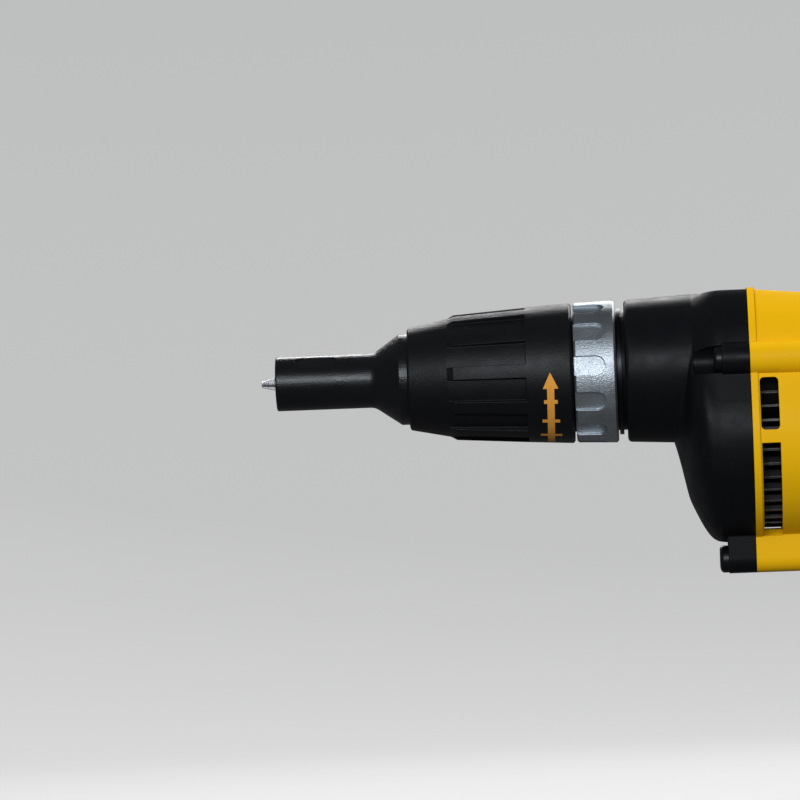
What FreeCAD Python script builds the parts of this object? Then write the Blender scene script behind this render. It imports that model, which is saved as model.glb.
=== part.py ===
import FreeCAD, Part
import Sketcher
import math
import os
import re

# Corded drywall screwdriver with a depth-setting nose, in millimetres.
# X runs from the nose to the handle, Y to the right-hand half, and Z up.
# The spindle turns about the X axis, and X = 0 is the front face of the nosepiece.
# The motor lies below the spindle, on an axis of its own that is parallel to X.

# Driving dimensions: one cell each in the sheet Sizes
SIZES = {
    # Fits shared by many pieces
    "slide_fit": 0.08,
    "seat_fit": 0.05,
    "free_gap": 0.4,
    "small_edge": 0.6,
    # Nosepiece, the tube that stops against the board
    "nose_radius": 8.4,
    "nose_bore": 6.2,
    "nose_tube_length": 30.4,
    "nose_cone_length": 8.2,
    "nose_land_radius": 14.1,
    "nose_land_shown": 2.5,
    "nose_wall": 2.2,
    "nose_shank_length": 57.5,
    "nose_travel": 3.0,
    "nose_flare_round": 4.6,
    "nose_panel_front": 6.0,
    "nose_panel_length": 13.0,
    "nose_panel_width": 4.6,
    "nose_panel_depth": 0.5,
    "nose_panel_tilt": 38.0,
    # Depth sleeve with its grip ribs
    "sleeve_front_radius": 16.0,
    "sleeve_cone_length": 12.4,
    "sleeve_cone_radius": 18.3,
    "rib_slope": 2.0,
    "rib_front_radius": 19.4,
    "rib_rear_radius": 20.9,
    "rib_length": 24.3,
    "rib_count": 11,
    "rib_angle": 11.8,
    "rib_phase": 3.3,
    "recess_rear_radius": 19.3,
    "band_length": 14.2,
    "band_rear_radius": 21.7,
    "sleeve_edge": 1.0,
    # Lock collar with its finger scoops
    "collar_gap": 0.6,
    "collar_length": 12.9,
    "collar_front_radius": 21.6,
    "collar_rear_radius": 22.0,
    "collar_groove": 2.8,
    "collar_ring_wire": 1.3,
    "scoop_count": 12,
    "scoop_width": 6.0,
    "scoop_length": 9.6,
    "scoop_depth": 1.0,
    "scoop_phase": 5.4,
    # Gear case: neck, guide tube, barrel and belly
    "neck_radius": 18.2,
    "neck_length": 27.0,
    "guide_length": 48.5,
    "guide_bore": 6.6,
    "snap_ring_width": 1.2,
    "snap_ring_depth": 0.8,
    "o_ring_wire": 1.8,
    "barrel_front_radius": 22.0,
    "barrel_rear_radius": 23.0,
    "barrel_length": 20.0,
    "barrel_edge": 1.3,
    "case_length": 38.1,
    "case_wall": 2.8,
    "motor_radius": 33.0,
    "shoulder_step": 3.5,
    "crown_cut": 2.8,
    "cavity_front_share": 0.44,
    "cavity_middle_share": 0.68,
    "cavity_rear_share": 0.85,
    # Screws that hold the gear case to the housing
    "case_screw_radius": 2.0,
    "case_screw_length": 32.0,
    "screw_head_radius": 4.0,
    "screw_head_height": 2.6,
    "screw_drive_radius": 1.7,
    "screw_drive_depth": 1.4,
    "upper_boss_radius": 5.1,
    "upper_boss_rise": 2.3,
    "lower_boss_radius": 4.3,
    "lower_boss_below": 5.1,
    "lower_boss_spread": 7.5,
    "case_boss_length": 8.5,
    "housing_boss_length": 36.0,
    "access_length": 9.0,
    # Spindle, bit holder and bit
    "spindle_front": 46.0,
    "spindle_radius": 5.5,
    "spindle_tail_radius": 5.0,
    "bush_radius": 8.5,
    "bush_length": 18.0,
    "seal_length": 3.0,
    "tail_bush_radius": 7.5,
    "hex_across": 6.35,
    "holder_radius": 5.2,
    "holder_front": 8.0,
    "holder_shank": 24.0,
    "bit_reach": 4.6,
    "bit_length": 25.4,
    "bit_neck_radius": 2.35,
    "bit_tip_length": 6.0,
    "bit_point_radius": 0.9,
    "bit_wing": 0.9,
    "bit_hex_front": 7.0,
    "magnet_radius": 3.0,
    "magnet_length": 5.0,
    # Clutch and gears
    "jaw_radius": 14.0,
    "jaw_thickness": 4.0,
    "dog_inner_radius": 9.0,
    "dog_height": 2.5,
    "dog_angle": 40.0,
    "dog_count": 3,
    "clutch_gap": 1.0,
    "push_travel": 3.0,
    "clutch_spring_radius": 7.2,
    "clutch_spring_wire": 0.9,
    "clutch_spring_turns": 2,
    "gear_module": 0.8,
    "gear_teeth": 45,
    "pinion_teeth": 8,
    "gear_width": 9.0,
    "tooth_pressure_angle": 25.0,
    "tooth_addendum": 0.65,
    "tooth_dedendum": 0.9,
    "tooth_backlash": 0.14,
    "gear_room": 1.0,
    "chamber_wall": 4.2,
    "thrust_washer_thickness": 1.5,
    "thrust_washer_radius": 10.0,
    "plate_thickness": 7.0,
    "plate_lip": 1.5,
    "plate_boss_wall": 2.5,
    # Motor
    "shaft_radius": 4.0,
    "shaft_tail_radius": 3.5,
    "front_bearing_radius": 11.0,
    "front_bearing_width": 7.0,
    "rear_bearing_radius": 9.5,
    "rear_bearing_width": 6.0,
    "race_thickness": 2.1,
    "boot_wall": 2.0,
    "fan_gap": 0.8,
    "fan_blade_foot_share": 0.6,
    "fan_hub_radius": 9.0,
    "fan_start": 2.6,
    "fan_blade_length": 6.4,
    "fan_blade_thickness": 0.7,
    "fan_blade_count": 40,
    "fan_plate_thickness": 1.4,
    "baffle_gap": 2.4,
    "baffle_thickness": 2.0,
    "baffle_bore": 22.0,
    "stator_gap": 6.8,
    "stator_length": 38.0,
    "stator_clearance": 0.3,
    "stator_slot_share": 0.828,
    "air_gap": 0.7,
    "pole_angle": 110.0,
    "coil_angle": 172.0,
    "coil_gap": 0.7,
    "coil_side_gap_angle": 3.0,
    "coil_overhang": 4.4,
    "armature_share": 0.593,
    "armature_slots": 12,
    "armature_slot_width": 2.4,
    "armature_slot_depth": 4.0,
    "winding_overhang": 5.6,
    "winding_share": 0.894,
    "winding_waist_share": 0.8,
    "commutator_radius": 11.5,
    "commutator_gap": 9.0,
    "commutator_length": 14.0,
    "commutator_bars": 24,
    "bar_gap": 0.7,
    "brush_width": 8.0,
    "brush_thickness": 6.0,
    "brush_share": 0.682,
    "brush_holder_wall": 0.8,
    "brush_holder_inner": 14.5,
    "brush_spring_radius": 2.0,
    "brush_spring_wire": 0.6,
    "brush_spring_turns": 4,
    # Housing halves: motor tube, bulkhead and pistol handle
    "housing_wall": 2.8,
    "bulkhead_gap": 1.4,
    "tail_crown_cut": 17.5,
    "tail_shoulder_inset": 3.5,
    "tail_shoulder_drop": 13.0,
    "lip_width": 2.2,
    "lip_rise": 0.5,
    "bulkhead_thickness": 8.6,
    "air_hole_radius": 6.0,
    "air_hole_reach_share": 0.712,
    "air_hole_count": 4,
    "vent_start": 2.6,
    "vent_width": 5.7,
    "vent_corner": 1.3,
    "vent_inner_share": 0.2,
    "vent_ramp_share": 0.5,
    "vent_top": -3.6,
    "vent_bridge_top": -19.6,
    "vent_bridge_bottom": -23.6,
    "vent_ramp_rise": 4.2,
    "handle_wall": 2.6,
    "handle_pivot_below": 7.8,
    "handle_length": 100.0,
    "intake_start": 10.0,
    "intake_pitch": 7.0,
    "intake_width": 3.4,
    "intake_count": 3,
    "intake_top": -12.0,
    "intake_bottom": -42.0,
    "seam_screw_radius": 1.6,
    "seam_screw_head_radius": 3.2,
    "seam_screw_head_height": 2.4,
    "seam_screw_length": 20.0,
    "seam_screw_seat": 8.0,
    "post_radius": 4.4,
    "grip_thickness": 1.5,
    "grip_set_back": 18.75,
    "grip_top_above": 25.0,
    "grip_foot_above": 12.5,
    # Controls and cord inlet
    "trigger_width": 17.0,
    "trigger_below": 4.0,
    "trigger_height": 25.0,
    "trigger_reach": 12.0,
    "trigger_travel": 6.0,
    "trigger_stem_radius": 3.0,
    "trigger_edge": 1.6,
    "trigger_bow_share": 0.8,
    "switch_front": 29.0,
    "switch_length": 16.0,
    "switch_width": 23.0,
    "switch_height": 30.0,
    "button_radius": 4.2,
    "button_stand_out": 2.6,
    "button_travel": 2.0,
    "button_back": 27.0,
    "button_below": 14.0,
    "lever_pivot_back": 25.0,
    "lever_above_trigger": 7.4,
    "lever_tip_share": 0.36,
    "lever_thickness": 3.6,
    "lever_width": 7.0,
    "lever_reach": 20.0,
    "lever_swing": 12.0,
    "lever_pin_radius": 2.0,
    "bracket_thickness": 2.2,
    "bracket_reach": 5.0,
    "gland_bore": 4.1,
    "gland_wall": 2.0,
    "gland_flange": 2.0,
    "gland_stand_out": 4.0,
    "gland_back": 46.0,
}

# The gear case's outlines where the barrel grows into the belly: distance behind its front, then
# how far the belly's width, its drop, the shoulder and the crown have gone from barrel to flange.
# A width or shoulder below zero is drawn in from the barrel, as a share of the barrel's radius.
CASE_STATIONS = {
    "belly_a": (12.5, -0.217, 0.19, -0.076, 0.08),
    "belly_b": (15.2, -0.196, 0.363, -0.061, 0.09),
    "belly_c": (17.4, -0.109, 0.736, -0.045, 0.12),
    "belly_d": (19.8, 0.44, 0.77, -0.02, 0.2),
    "belly_e": (23.9, 0.93, 0.9, 0.45, 0.6),
    "belly_f": (28.0, 0.995, 0.993, 0.95, 0.97),
    "belly_g": (29.7, 1.0, 1.0, 1.0, 1.0),
}
for station, shares in CASE_STATIONS.items():
    for part, share in zip(("at", "width", "drop", "shoulder", "crown"), shares):
        SIZES[f"{station}_{part}"] = share

# The handle's sections, as spokes about a pivot under the motor: how far each is turned back
# from upright, its near and far ends along the spoke, and its half width. The first spoke,
# spoke_a, is upright and closes the motor tube, so its sizes are places worked out below.
HANDLE_SPOKES = {
    "spoke_b": (22.0, 9.5, 73.0, 31.0),
    "spoke_c": (45.0, 11.0, 66.0, 27.0),
    "spoke_d": (68.0, 12.5, 59.0, 23.0),
    "spoke_e": (90.0, 14.0, 55.0, 20.0),
}
# Below the pivot the sections are level: drop below it as a share of the handle, ends and half width.
HANDLE_LEVELS = {
    "level_a": (0.25, 13.5, 56.0, 18.3),
    "level_b": (0.55, 19.0, 60.5, 17.5),
    "level_c": (0.85, 23.0, 66.0, 18.5),
    "level_d": (1.00, 24.0, 68.5, 19.5),
}
for spoke, (turn, near, far, half_width) in HANDLE_SPOKES.items():
    SIZES[spoke + "_turn"] = turn
    SIZES[spoke + "_near"] = near
    SIZES[spoke + "_far"] = far
    SIZES[spoke + "_half"] = half_width
for level, (share, near, far, half_width) in HANDLE_LEVELS.items():
    SIZES[level + "_share"] = share
    SIZES[level + "_near"] = near
    SIZES[level + "_far"] = far
    SIZES[level + "_half"] = half_width

# Screws through the seam of the housing halves
SEAM_SCREWS = ("seam_top", "seam_rear", "seam_web", "seam_grip", "seam_foot")
SIZES["seam_top_back"] = 12.0
SIZES["seam_top_below_crown"] = 9.1
SIZES["seam_rear_ahead"] = 15.6
SIZES["seam_rear_below_crown"] = 8.5
SIZES["seam_web_back"] = 38.9
SIZES["seam_web_above"] = 35.0
SIZES["seam_grip_back"] = 26.4
SIZES["seam_grip_share"] = 0.44
SIZES["seam_foot_back"] = 32.0
SIZES["seam_foot_share"] = 0.79
# How far the handle's first section stays inside the rear end of the motor tube
SIZES["spoke_a_under"] = 0.8
SIZES["spoke_a_crown"] = 0.9
SIZES["spoke_a_side"] = 1.8

# Places worked out from the sizes: one cell each in the sheet Places
PLACES = {
    "axis_drop": "gear_module * (gear_teeth + pinion_teeth) / 2",
    "shoulder_radius": "barrel_rear_radius + shoulder_step",
    "crown": "shoulder_radius - crown_cut",
    "tail_shoulder_radius": "motor_radius - tail_shoulder_inset",
    "tail_crown": "motor_radius - tail_crown_cut",
    "motor_floor": "axis_drop + motor_radius",
    "lower_boss_drop": "motor_floor + lower_boss_below",
    "land_front": "nose_tube_length + nose_cone_length",
    "sleeve_front": "land_front + nose_land_shown",
    "rib_front": "sleeve_front + sleeve_cone_length",
    "band_front": "rib_front + rib_length",
    "sleeve_rear": "band_front + band_length",
    "collar_front": "sleeve_rear + collar_gap",
    "collar_rear": "collar_front + collar_length",
    "case_front": "collar_rear + collar_groove",
    "case_rear": "case_front + case_length",
    "barrel_rear": "case_front + barrel_length",
    "nose_rear": "land_front + nose_shank_length",
    "shank_bore": "nose_land_radius - nose_wall",
    "guide_radius": "shank_bore - slide_fit",
    "guide_front": "case_front - guide_length",
    "thread_bore": "nose_land_radius + slide_fit",
    "neck_front": "case_front - neck_length",
    "neck_bore": "neck_radius + slide_fit",
    "neck_inner": "nose_land_radius + free_gap",
    "neck_pocket_end": "nose_rear + nose_travel + free_gap",
    "snap_ring_front": "neck_front + 2 * snap_ring_width",
    "snap_ring_rear": "snap_ring_front + snap_ring_width",
    "o_ring_centre": "snap_ring_rear + 2 * o_ring_wire",
    "chamber_front": "case_front + chamber_wall",
    "chamber_radius": "gear_module * (gear_teeth / 2 + tooth_addendum) + gear_room",
    "bush_front": "chamber_front - bush_length",
    "seal_front": "bush_front - seal_length",
    "plate_front": "case_rear - plate_thickness",
    "boss_front": "case_rear - case_boss_length",
    "upper_boss_reach": "motor_radius - case_wall + seat_fit * 2 + upper_boss_radius",
    "upper_boss_side": "sqrt(upper_boss_reach^2 - (upper_boss_rise + axis_drop)^2)",
    "thrust_washer_front": "plate_front - seat_fit - thrust_washer_thickness",
    "gear_rear": "thrust_washer_front - seat_fit",
    "gear_front": "gear_rear - gear_width",
    "gear_dog_tip": "gear_front - dog_height",
    "jaw_dog_tip": "gear_dog_tip - clutch_gap",
    "jaw_face": "jaw_dog_tip - dog_height",
    "jaw_front": "jaw_face - jaw_thickness",
    "spindle_rear": "case_rear - push_travel - 2 * free_gap",
    "hex_corner": "hex_across / sqrt(3)",
    "bit_tip": "-bit_reach",
    "bit_rear": "bit_tip + bit_length",
    "magnet_rear": "bit_rear + seat_fit + magnet_length",
    "holder_rear": "spindle_front - seat_fit",
    "front_bearing_front": "plate_front + plate_lip",
    "front_bearing_rear": "front_bearing_front + front_bearing_width",
    "plate_boss_rear": "front_bearing_rear + seat_fit",
    "fan_front": "case_rear + fan_start",
    "fan_plate_front": "fan_front + fan_blade_length",
    "fan_rear": "fan_plate_front + fan_plate_thickness",
    "motor_bore": "motor_radius - housing_wall",
    "fan_radius": "motor_bore - fan_gap",
    "baffle_front": "fan_rear + baffle_gap",
    "stator_front": "baffle_front + stator_gap",
    "stator_rear": "stator_front + stator_length",
    "stator_radius": "motor_bore - stator_clearance",
    "stator_slot_radius": "motor_bore * stator_slot_share",
    "armature_radius": "motor_bore * armature_share",
    "winding_outer_radius": "armature_radius * winding_share",
    "pole_radius": "armature_radius + air_gap",
    "coil_inner_radius": "pole_radius + coil_gap",
    "coil_outer_radius": "stator_slot_radius - coil_gap",
    "commutator_front": "stator_rear + commutator_gap",
    "commutator_rear": "commutator_front + commutator_length",
    "brush_centre": "commutator_front + commutator_length / 2",
    "brush_holder_outer": "motor_bore - stator_clearance",
    "brush_holder_cap": "brush_holder_outer - brush_holder_wall",
    "brush_length": "(brush_holder_cap - commutator_radius) * brush_share",
    "brush_tail": "commutator_radius + slide_fit + brush_length",
    "bulkhead_front": "commutator_rear + bulkhead_gap",
    "housing_rear": "bulkhead_front + bulkhead_thickness",
    "air_hole_reach": "motor_bore * air_hole_reach_share",
    "vent_bottom": "vent_ramp_rise - motor_floor",
    "rear_bearing_front": "bulkhead_front + boot_wall",
    "rear_bearing_rear": "rear_bearing_front + rear_bearing_width",
    "boot_radius": "rear_bearing_radius + boot_wall",
    "boot_rear": "rear_bearing_rear + boot_wall / 2",
    "shaft_rear": "rear_bearing_rear - seat_fit",
    "handle_pivot_drop": "motor_floor + handle_pivot_below",
    "handle_foot": "handle_pivot_drop + handle_length",
    "spoke_a_turn": "0",
    "spoke_a_near": "handle_pivot_below + spoke_a_under",
    "spoke_a_far": "handle_pivot_drop + tail_crown - spoke_a_crown",
    "spoke_a_half": "motor_radius - spoke_a_side",
    "seam_top_x": "case_rear + seam_top_back",
    "seam_top_z": "crown - seam_top_below_crown",
    "seam_rear_x": "housing_rear - seam_rear_ahead",
    "seam_rear_z": "tail_crown - seam_rear_below_crown",
    "seam_web_x": "housing_rear + seam_web_back",
    "seam_web_z": "seam_web_above - handle_pivot_drop",
    "seam_grip_x": "housing_rear + seam_grip_back",
    "seam_grip_z": "-handle_pivot_drop - handle_length * seam_grip_share",
    "seam_foot_x": "housing_rear + seam_foot_back",
    "seam_foot_z": "-handle_pivot_drop - handle_length * seam_foot_share",
    "trigger_top": "handle_pivot_drop + trigger_below",
    "lever_drop": "trigger_top - lever_above_trigger",
    "button_drop": "handle_pivot_drop + button_below",
    "trigger_front": "housing_rear + level_a_near - trigger_reach",
    "trigger_rear": "housing_rear + level_a_near + trigger_travel + free_gap",
    "trigger_bottom": "trigger_top + trigger_height",
    "switch_face": "housing_rear + switch_front",
    "switch_rear": "switch_face + switch_length",
    "switch_top": "trigger_top + (trigger_height - switch_height) / 2",
    "button_x": "housing_rear + button_back",
    "button_inner": "switch_width / 2 + button_travel + free_gap",
    "lever_pivot": "housing_rear + lever_pivot_back",
    "gland_x": "housing_rear + gland_back",
    "gland_radius": "gland_bore + gland_wall",
}

doc = FreeCAD.newDocument("drywall_screwdriver")
sub_parts = []


def bound(text, own_sheet=""):
    """An expression with each named size or place written as a cell of its sheet."""

    def cell(match):
        name = match.group()
        if name in SIZES:
            return "Sizes." + name
        if name in PLACES and own_sheet != "Places":
            return "Places." + name
        return name

    return re.sub(r"[a-z][a-z0-9_]*", cell, str(text))


def fill_sheet(name, cells):
    """A sheet with one named cell per entry."""
    sheet = doc.addObject("Spreadsheet::Sheet", name)
    for row, (alias, content) in enumerate(cells.items(), start=1):
        sheet.set(f"A{row}", alias)
        sheet.set(f"B{row}", content)
        sheet.setAlias(f"B{row}", alias)
    doc.recompute()
    return sheet


sizes = fill_sheet("Sizes", {name: str(size) for name, size in SIZES.items()})
places = fill_sheet("Places", {name: "=" + bound(text, "Places") for name, text in PLACES.items()})


def value(text):
    """The number that an expression in named sizes comes to."""
    return float(sizes.evalExpression(bound(text)))


def bind(thing, **expressions):
    """Tie properties to the sheets; a double underscore stands for the dot in a property's path."""
    for path, text in expressions.items():
        thing.setExpression(path.replace("__", "."), bound(text))
    return thing


def keep(thing, label):
    """Name a finished sub-part and list it for writing."""
    thing.Label = label
    sub_parts.append(thing)
    return thing


# Sketches and bodies


def new_body(name, drop=None, roll=None):
    """A body, lowered to another axis or rolled about X where asked."""
    body = doc.addObject("PartDesign::Body", name)
    if roll is not None:
        body.Placement = FreeCAD.Placement(FreeCAD.Vector(), FreeCAD.Rotation(FreeCAD.Vector(1, 0, 0), 1))
        bind(body, Placement__Rotation__Angle=roll)
    if drop is not None:
        bind(body, Placement__Base__z=f"-({drop})")
    return body


def origin_of(body, role):
    return next(item for item in body.Origin.OriginFeatures if item.Role == role)


def sketch_on(body, plane, shift=None, rise=None):
    """A sketch on an origin plane of its body, shifted along the plane's normal and up in the plane."""
    sketch = body.newObject("Sketcher::SketchObject", body.Name + "_sketch")
    sketch.AttachmentSupport = [(origin_of(body, plane), "")]
    sketch.MapMode = "FlatFace"
    if shift is not None:
        bind(sketch, AttachmentOffset__Base__z=shift)
    if rise is not None:
        bind(sketch, AttachmentOffset__Base__y=rise)
    return sketch


def pin_point(sketch, geometry, corner, across=None, along=None):
    """Hold a point of a sketch at its named place from the sketch's origin."""
    for kind, text, axis in (("DistanceX", across, -2), ("DistanceY", along, -1)):
        if text is None:
            continue
        if str(text) == "0":
            sketch.addConstraint(Sketcher.Constraint("PointOnObject", geometry, corner, axis))
            continue
        index = sketch.addConstraint(Sketcher.Constraint(kind, -1, 1, geometry, corner, value(text)))
        sketch.setExpression(f"Constraints[{index}]", bound(text))


def bent_edge(start, end, radius, turn):
    """The arc of a circle from start to end, turning left (turn 1) or right (turn -1)."""
    chord = end - start
    half = chord.Length / 2
    to_centre = math.sqrt(max(radius**2 - half**2, 0.0))
    left = FreeCAD.Vector(-chord.y, chord.x, 0).normalize()
    centre = (start + end) * 0.5 + left * (to_centre * turn)
    first, last = (start, end) if turn > 0 else (end, start)
    from_angle = math.atan2(first.y - centre.y, first.x - centre.x)
    to_angle = math.atan2(last.y - centre.y, last.x - centre.x)
    if to_angle <= from_angle:
        to_angle += 2 * math.pi
    circle = Part.Circle(centre, FreeCAD.Vector(0, 0, 1), radius)
    return Part.ArcOfCircle(circle, from_angle, to_angle)


def draw_outline(sketch, corners):
    """Close an outline through its corners, each two named places.

    A corner with a radius and a turn as well leaves along an arc.
    """
    points = [FreeCAD.Vector(value(corner[0]), value(corner[1]), 0) for corner in corners]
    edges = []
    for corner, start, end in zip(corners, points, points[1:] + points[:1]):
        if len(corner) == 2:
            edge = sketch.addGeometry(Part.LineSegment(start, end))
            edges.append((edge, 1, 2))
            continue
        radius, turn = corner[2:]
        edge = sketch.addGeometry(bent_edge(start, end, value(radius), turn))
        chord = end - start
        half_round = abs(chord.Length / 2 - value(radius)) < 1e-6
        if half_round and abs(chord.x) < 1e-6:
            pin_point(sketch, edge, 3, across=corner[0])
        elif half_round:
            pin_point(sketch, edge, 3, along=corner[1])
        else:
            index = sketch.addConstraint(Sketcher.Constraint("Radius", edge, value(radius)))
            sketch.setExpression(f"Constraints[{index}]", bound(radius))
        edges.append((edge, 1, 2) if turn > 0 else (edge, 2, 1))
    for here, after in zip(edges, edges[1:] + edges[:1]):
        sketch.addConstraint(Sketcher.Constraint("Coincident", here[0], here[2], after[0], after[1]))
    for (edge, first, _), corner in zip(edges, corners):
        pin_point(sketch, edge, first, corner[0], corner[1])
    return sketch


def draw_circle(sketch, across, along, radius):
    centre = FreeCAD.Vector(value(across), value(along), 0)
    ring = sketch.addGeometry(Part.Circle(centre, FreeCAD.Vector(0, 0, 1), value(radius)))
    index = sketch.addConstraint(Sketcher.Constraint("Radius", ring, value(radius)))
    sketch.setExpression(f"Constraints[{index}]", bound(radius))
    pin_point(sketch, ring, 3, across, along)
    return sketch


def draw_box(sketch, left, right, bottom, top):
    return draw_outline(sketch, [(left, bottom), (right, bottom), (right, top), (left, top)])


def soft_box(left, right, bottom, top, radius):
    """The outline of a box with rounded corners."""
    inner_left, inner_right = f"{left} + {radius}", f"{right} - {radius}"
    inner_bottom, inner_top = f"{bottom} + {radius}", f"{top} - {radius}"
    return [
        (inner_left, bottom),
        (inner_right, bottom, radius, 1),
        (right, inner_bottom),
        (right, inner_top, radius, 1),
        (inner_right, top),
        (inner_left, top, radius, 1),
        (left, inner_top),
        (left, inner_bottom, radius, 1),
    ]


def draw_hexagon(sketch, corner_radius):
    """A hexagon about the sketch's origin, with corners left and right."""
    half = f"({corner_radius}) / 2"
    flat = f"({corner_radius}) * sqrt(3) / 2"
    corners = [(corner_radius, "0"), (half, flat), (f"-{half}", flat)]
    corners += [(f"-({corner_radius})", "0"), (f"-{half}", f"-{flat}"), (half, f"-{flat}")]
    return draw_outline(sketch, corners)


def feature(body, kind, sketch, **expressions):
    """A PartDesign feature from a sketch, and the body's new tip."""
    made = body.newObject("PartDesign::" + kind, body.Name + "_" + kind.lower())
    made.Profile = sketch
    bind(made, **expressions)
    body.Tip = made
    return made


def turn_about_x(body, corners, kind="Revolution", angle="360", rise=None):
    """Revolve an outline given as (X, radius) about the body's X axis, or about a line above it."""
    sketch = draw_outline(sketch_on(body, "XZ_Plane", rise=rise), corners)
    made = feature(body, kind, sketch, Angle=angle)
    made.ReferenceAxis = (sketch, ["H_Axis"])
    made.Midplane = True
    return made


def turned(name, corners, **body_options):
    body = new_body(name, **body_options)
    turn_about_x(body, corners)
    return body


def ring(name, front, rear, inner, outer, **body_options):
    """A plain ring about the body's X axis."""
    corners = [(front, inner), (rear, inner), (rear, outer), (front, outer)]
    return turned(name, corners, **body_options)


def pad_along_x(body, draw, start, end):
    """Pad a sketch in the YZ plane from one X to another; draw puts the outline on the sketch."""
    sketch = draw(sketch_on(body, "YZ_Plane", shift=start))
    return feature(body, "Pad", sketch, Length=f"({end}) - ({start})")


def cut_along_x(body, draw, start, end):
    """Cut a sketch in the YZ plane out of the body between two values of X."""
    sketch = draw(sketch_on(body, "YZ_Plane", shift=start))
    made = feature(body, "Pocket", sketch, Length=f"({end}) - ({start})")
    made.Reversed = True
    return made


def repeat_about_x(body, originals, count):
    pattern = body.newObject("PartDesign::PolarPattern", body.Name + "_around")
    pattern.Originals = originals
    pattern.Axis = (origin_of(body, "X_Axis"), [""])
    pattern.Angle = 360
    bind(pattern, Occurrences=count)
    body.Tip = pattern
    return pattern


def round_edges(body, radius, wanted, kind="Fillet"):
    """Round or chamfer the edges of the body's tip for which wanted(edge) is true."""
    doc.recompute()
    base = body.Tip
    names = [f"Edge{number}" for number, edge in enumerate(base.Shape.Edges, start=1) if wanted(edge)]
    if not names:
        raise RuntimeError(f"{body.Name} has no such edge to round")
    made = body.newObject("PartDesign::" + kind, body.Name + "_edges")
    made.Base = (base, names)
    bind(made, **{"Radius" if kind == "Fillet" else "Size": radius})
    body.Tip = made
    return made


# Primitives and booleans


def block(name, left, right, near, far, bottom, top):
    box = doc.addObject("Part::Box", name)
    bind(box, Length=f"({right}) - ({left})", Width=f"({far}) - ({near})", Height=f"({top}) - ({bottom})")
    return bind(box, Placement__Base__x=left, Placement__Base__y=near, Placement__Base__z=bottom)


ROD_TURNS = {"X": ((0, 1, 0), 90), "Y": ((1, 0, 0), -90), "Z": ((0, 0, 1), 0)}


def rod(name, axis, place, radius, length):
    """A cylinder along X, Y or Z from its place (three named values)."""
    cylinder = doc.addObject("Part::Cylinder", name)
    pivot, degrees = ROD_TURNS[axis]
    turn = FreeCAD.Rotation(FreeCAD.Vector(*pivot), degrees)
    cylinder.Placement = FreeCAD.Placement(FreeCAD.Vector(), turn)
    bind(cylinder, Radius=radius, Height=length)
    across, aside, rise = place
    return bind(cylinder, Placement__Base__x=across, Placement__Base__y=aside, Placement__Base__z=rise)


def fuse(name, pieces):
    made = doc.addObject("Part::MultiFuse", name)
    made.Shapes = pieces
    return made


def common(name, pieces):
    made = doc.addObject("Part::MultiCommon", name)
    made.Shapes = pieces
    return made


def cut(name, base, tools):
    """One piece less the tools, which are joined first where there are several."""
    made = doc.addObject("Part::Cut", name)
    made.Base = base
    made.Tool = tools[0] if len(tools) == 1 else fuse(name + "_tools", tools)
    return made


def mirrored(name, source):
    """A copy on the other side of the plane Y = 0."""
    made = doc.addObject("Part::Mirroring", name)
    made.Source = source
    made.Base = FreeCAD.Vector(0, 0, 0)
    made.Normal = FreeCAD.Vector(0, 1, 0)
    return made


def group(name, pieces):
    made = doc.addObject("Part::Compound", name)
    made.Links = pieces
    return made


def egg(
    inset="0",
    lower="motor_radius",
    drop="axis_drop",
    upper="shoulder_radius",
    top="crown",
    upper_rise="0",
):
    """The outline of the motor section: a round belly about the motor, flanks that run up to a
    round shoulder about the spindle, and a flat crown. All of it is inset by one wall."""
    belly = f"({lower} - ({inset}))"
    shoulder = f"({upper} - ({inset}))"
    crown_rise = f"({top} - ({inset}))"
    lean = f"(({lower}) - ({upper})) / (({upper_rise}) + ({drop}))"
    level = f"sqrt(1 - ({lean})^2)"
    crown_half = f"sqrt({shoulder}^2 - ({crown_rise} - ({upper_rise}))^2)"
    low_side = f"{belly} * {level}"
    low_rise = f"{belly} * {lean} - ({drop})"
    high_side = f"{shoulder} * {level}"
    high_rise = f"{shoulder} * {lean} + ({upper_rise})"
    return [
        (crown_half, crown_rise),
        (f"-{crown_half}", crown_rise, shoulder, 1),
        (f"-{high_side}", high_rise),
        (f"-{low_side}", low_rise, belly, 1),
        ("0", f"-({drop}) - {belly}", belly, 1),
        (low_side, low_rise),
        (high_side, high_rise, shoulder, 1),
    ]


def loft_along_x(body, sections):
    """An additive loft through outlines in the YZ plane, each with its own X."""
    sketches = [draw_outline(sketch_on(body, "YZ_Plane", shift=at), outline) for at, outline in sections]
    loft = feature(body, "AdditiveLoft", sketches[0])
    loft.Sections = [(sketch, [""]) for sketch in sketches[1:]]
    return loft


def boss_below(side):
    """The outline of a lower screw boss, with a web that runs up into the belly."""
    left = f"{side} - lower_boss_radius"
    right = f"{side} + lower_boss_radius"
    return [
        (left, "-motor_floor + case_wall"),
        (left, "-lower_boss_drop", "lower_boss_radius", 1),
        (right, "-lower_boss_drop"),
        (right, "-motor_floor + case_wall"),
    ]


def coil(label, start, axis, length, radius, wire, turns):
    """A coil spring from start along axis, as half turns that climb evenly between flat ends."""
    along = FreeCAD.Vector(*axis)
    side = FreeCAD.Vector(0, 0, 1)
    other = along.cross(side)
    halves = 2 * int(turns)
    climb = (length - wire) / halves

    def point(half_turns):
        turn = half_turns * math.pi
        ray = side * math.cos(turn) + other * math.sin(turn)
        return start + along * (wire / 2 + climb * half_turns) + ray * radius

    arcs = [Part.Arc(point(k), point(k + 0.5), point(k + 1)).toShape() for k in range(halves)]
    path = Part.Wire(arcs)
    first = arcs[0]
    section = Part.makeCircle(wire / 2, point(0), first.tangentAt(first.FirstParameter))
    spring = doc.addObject("Part::Feature", label)
    spring.Shape = path.makePipeShell([Part.Wire([section])], True, False)
    return spring


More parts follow.
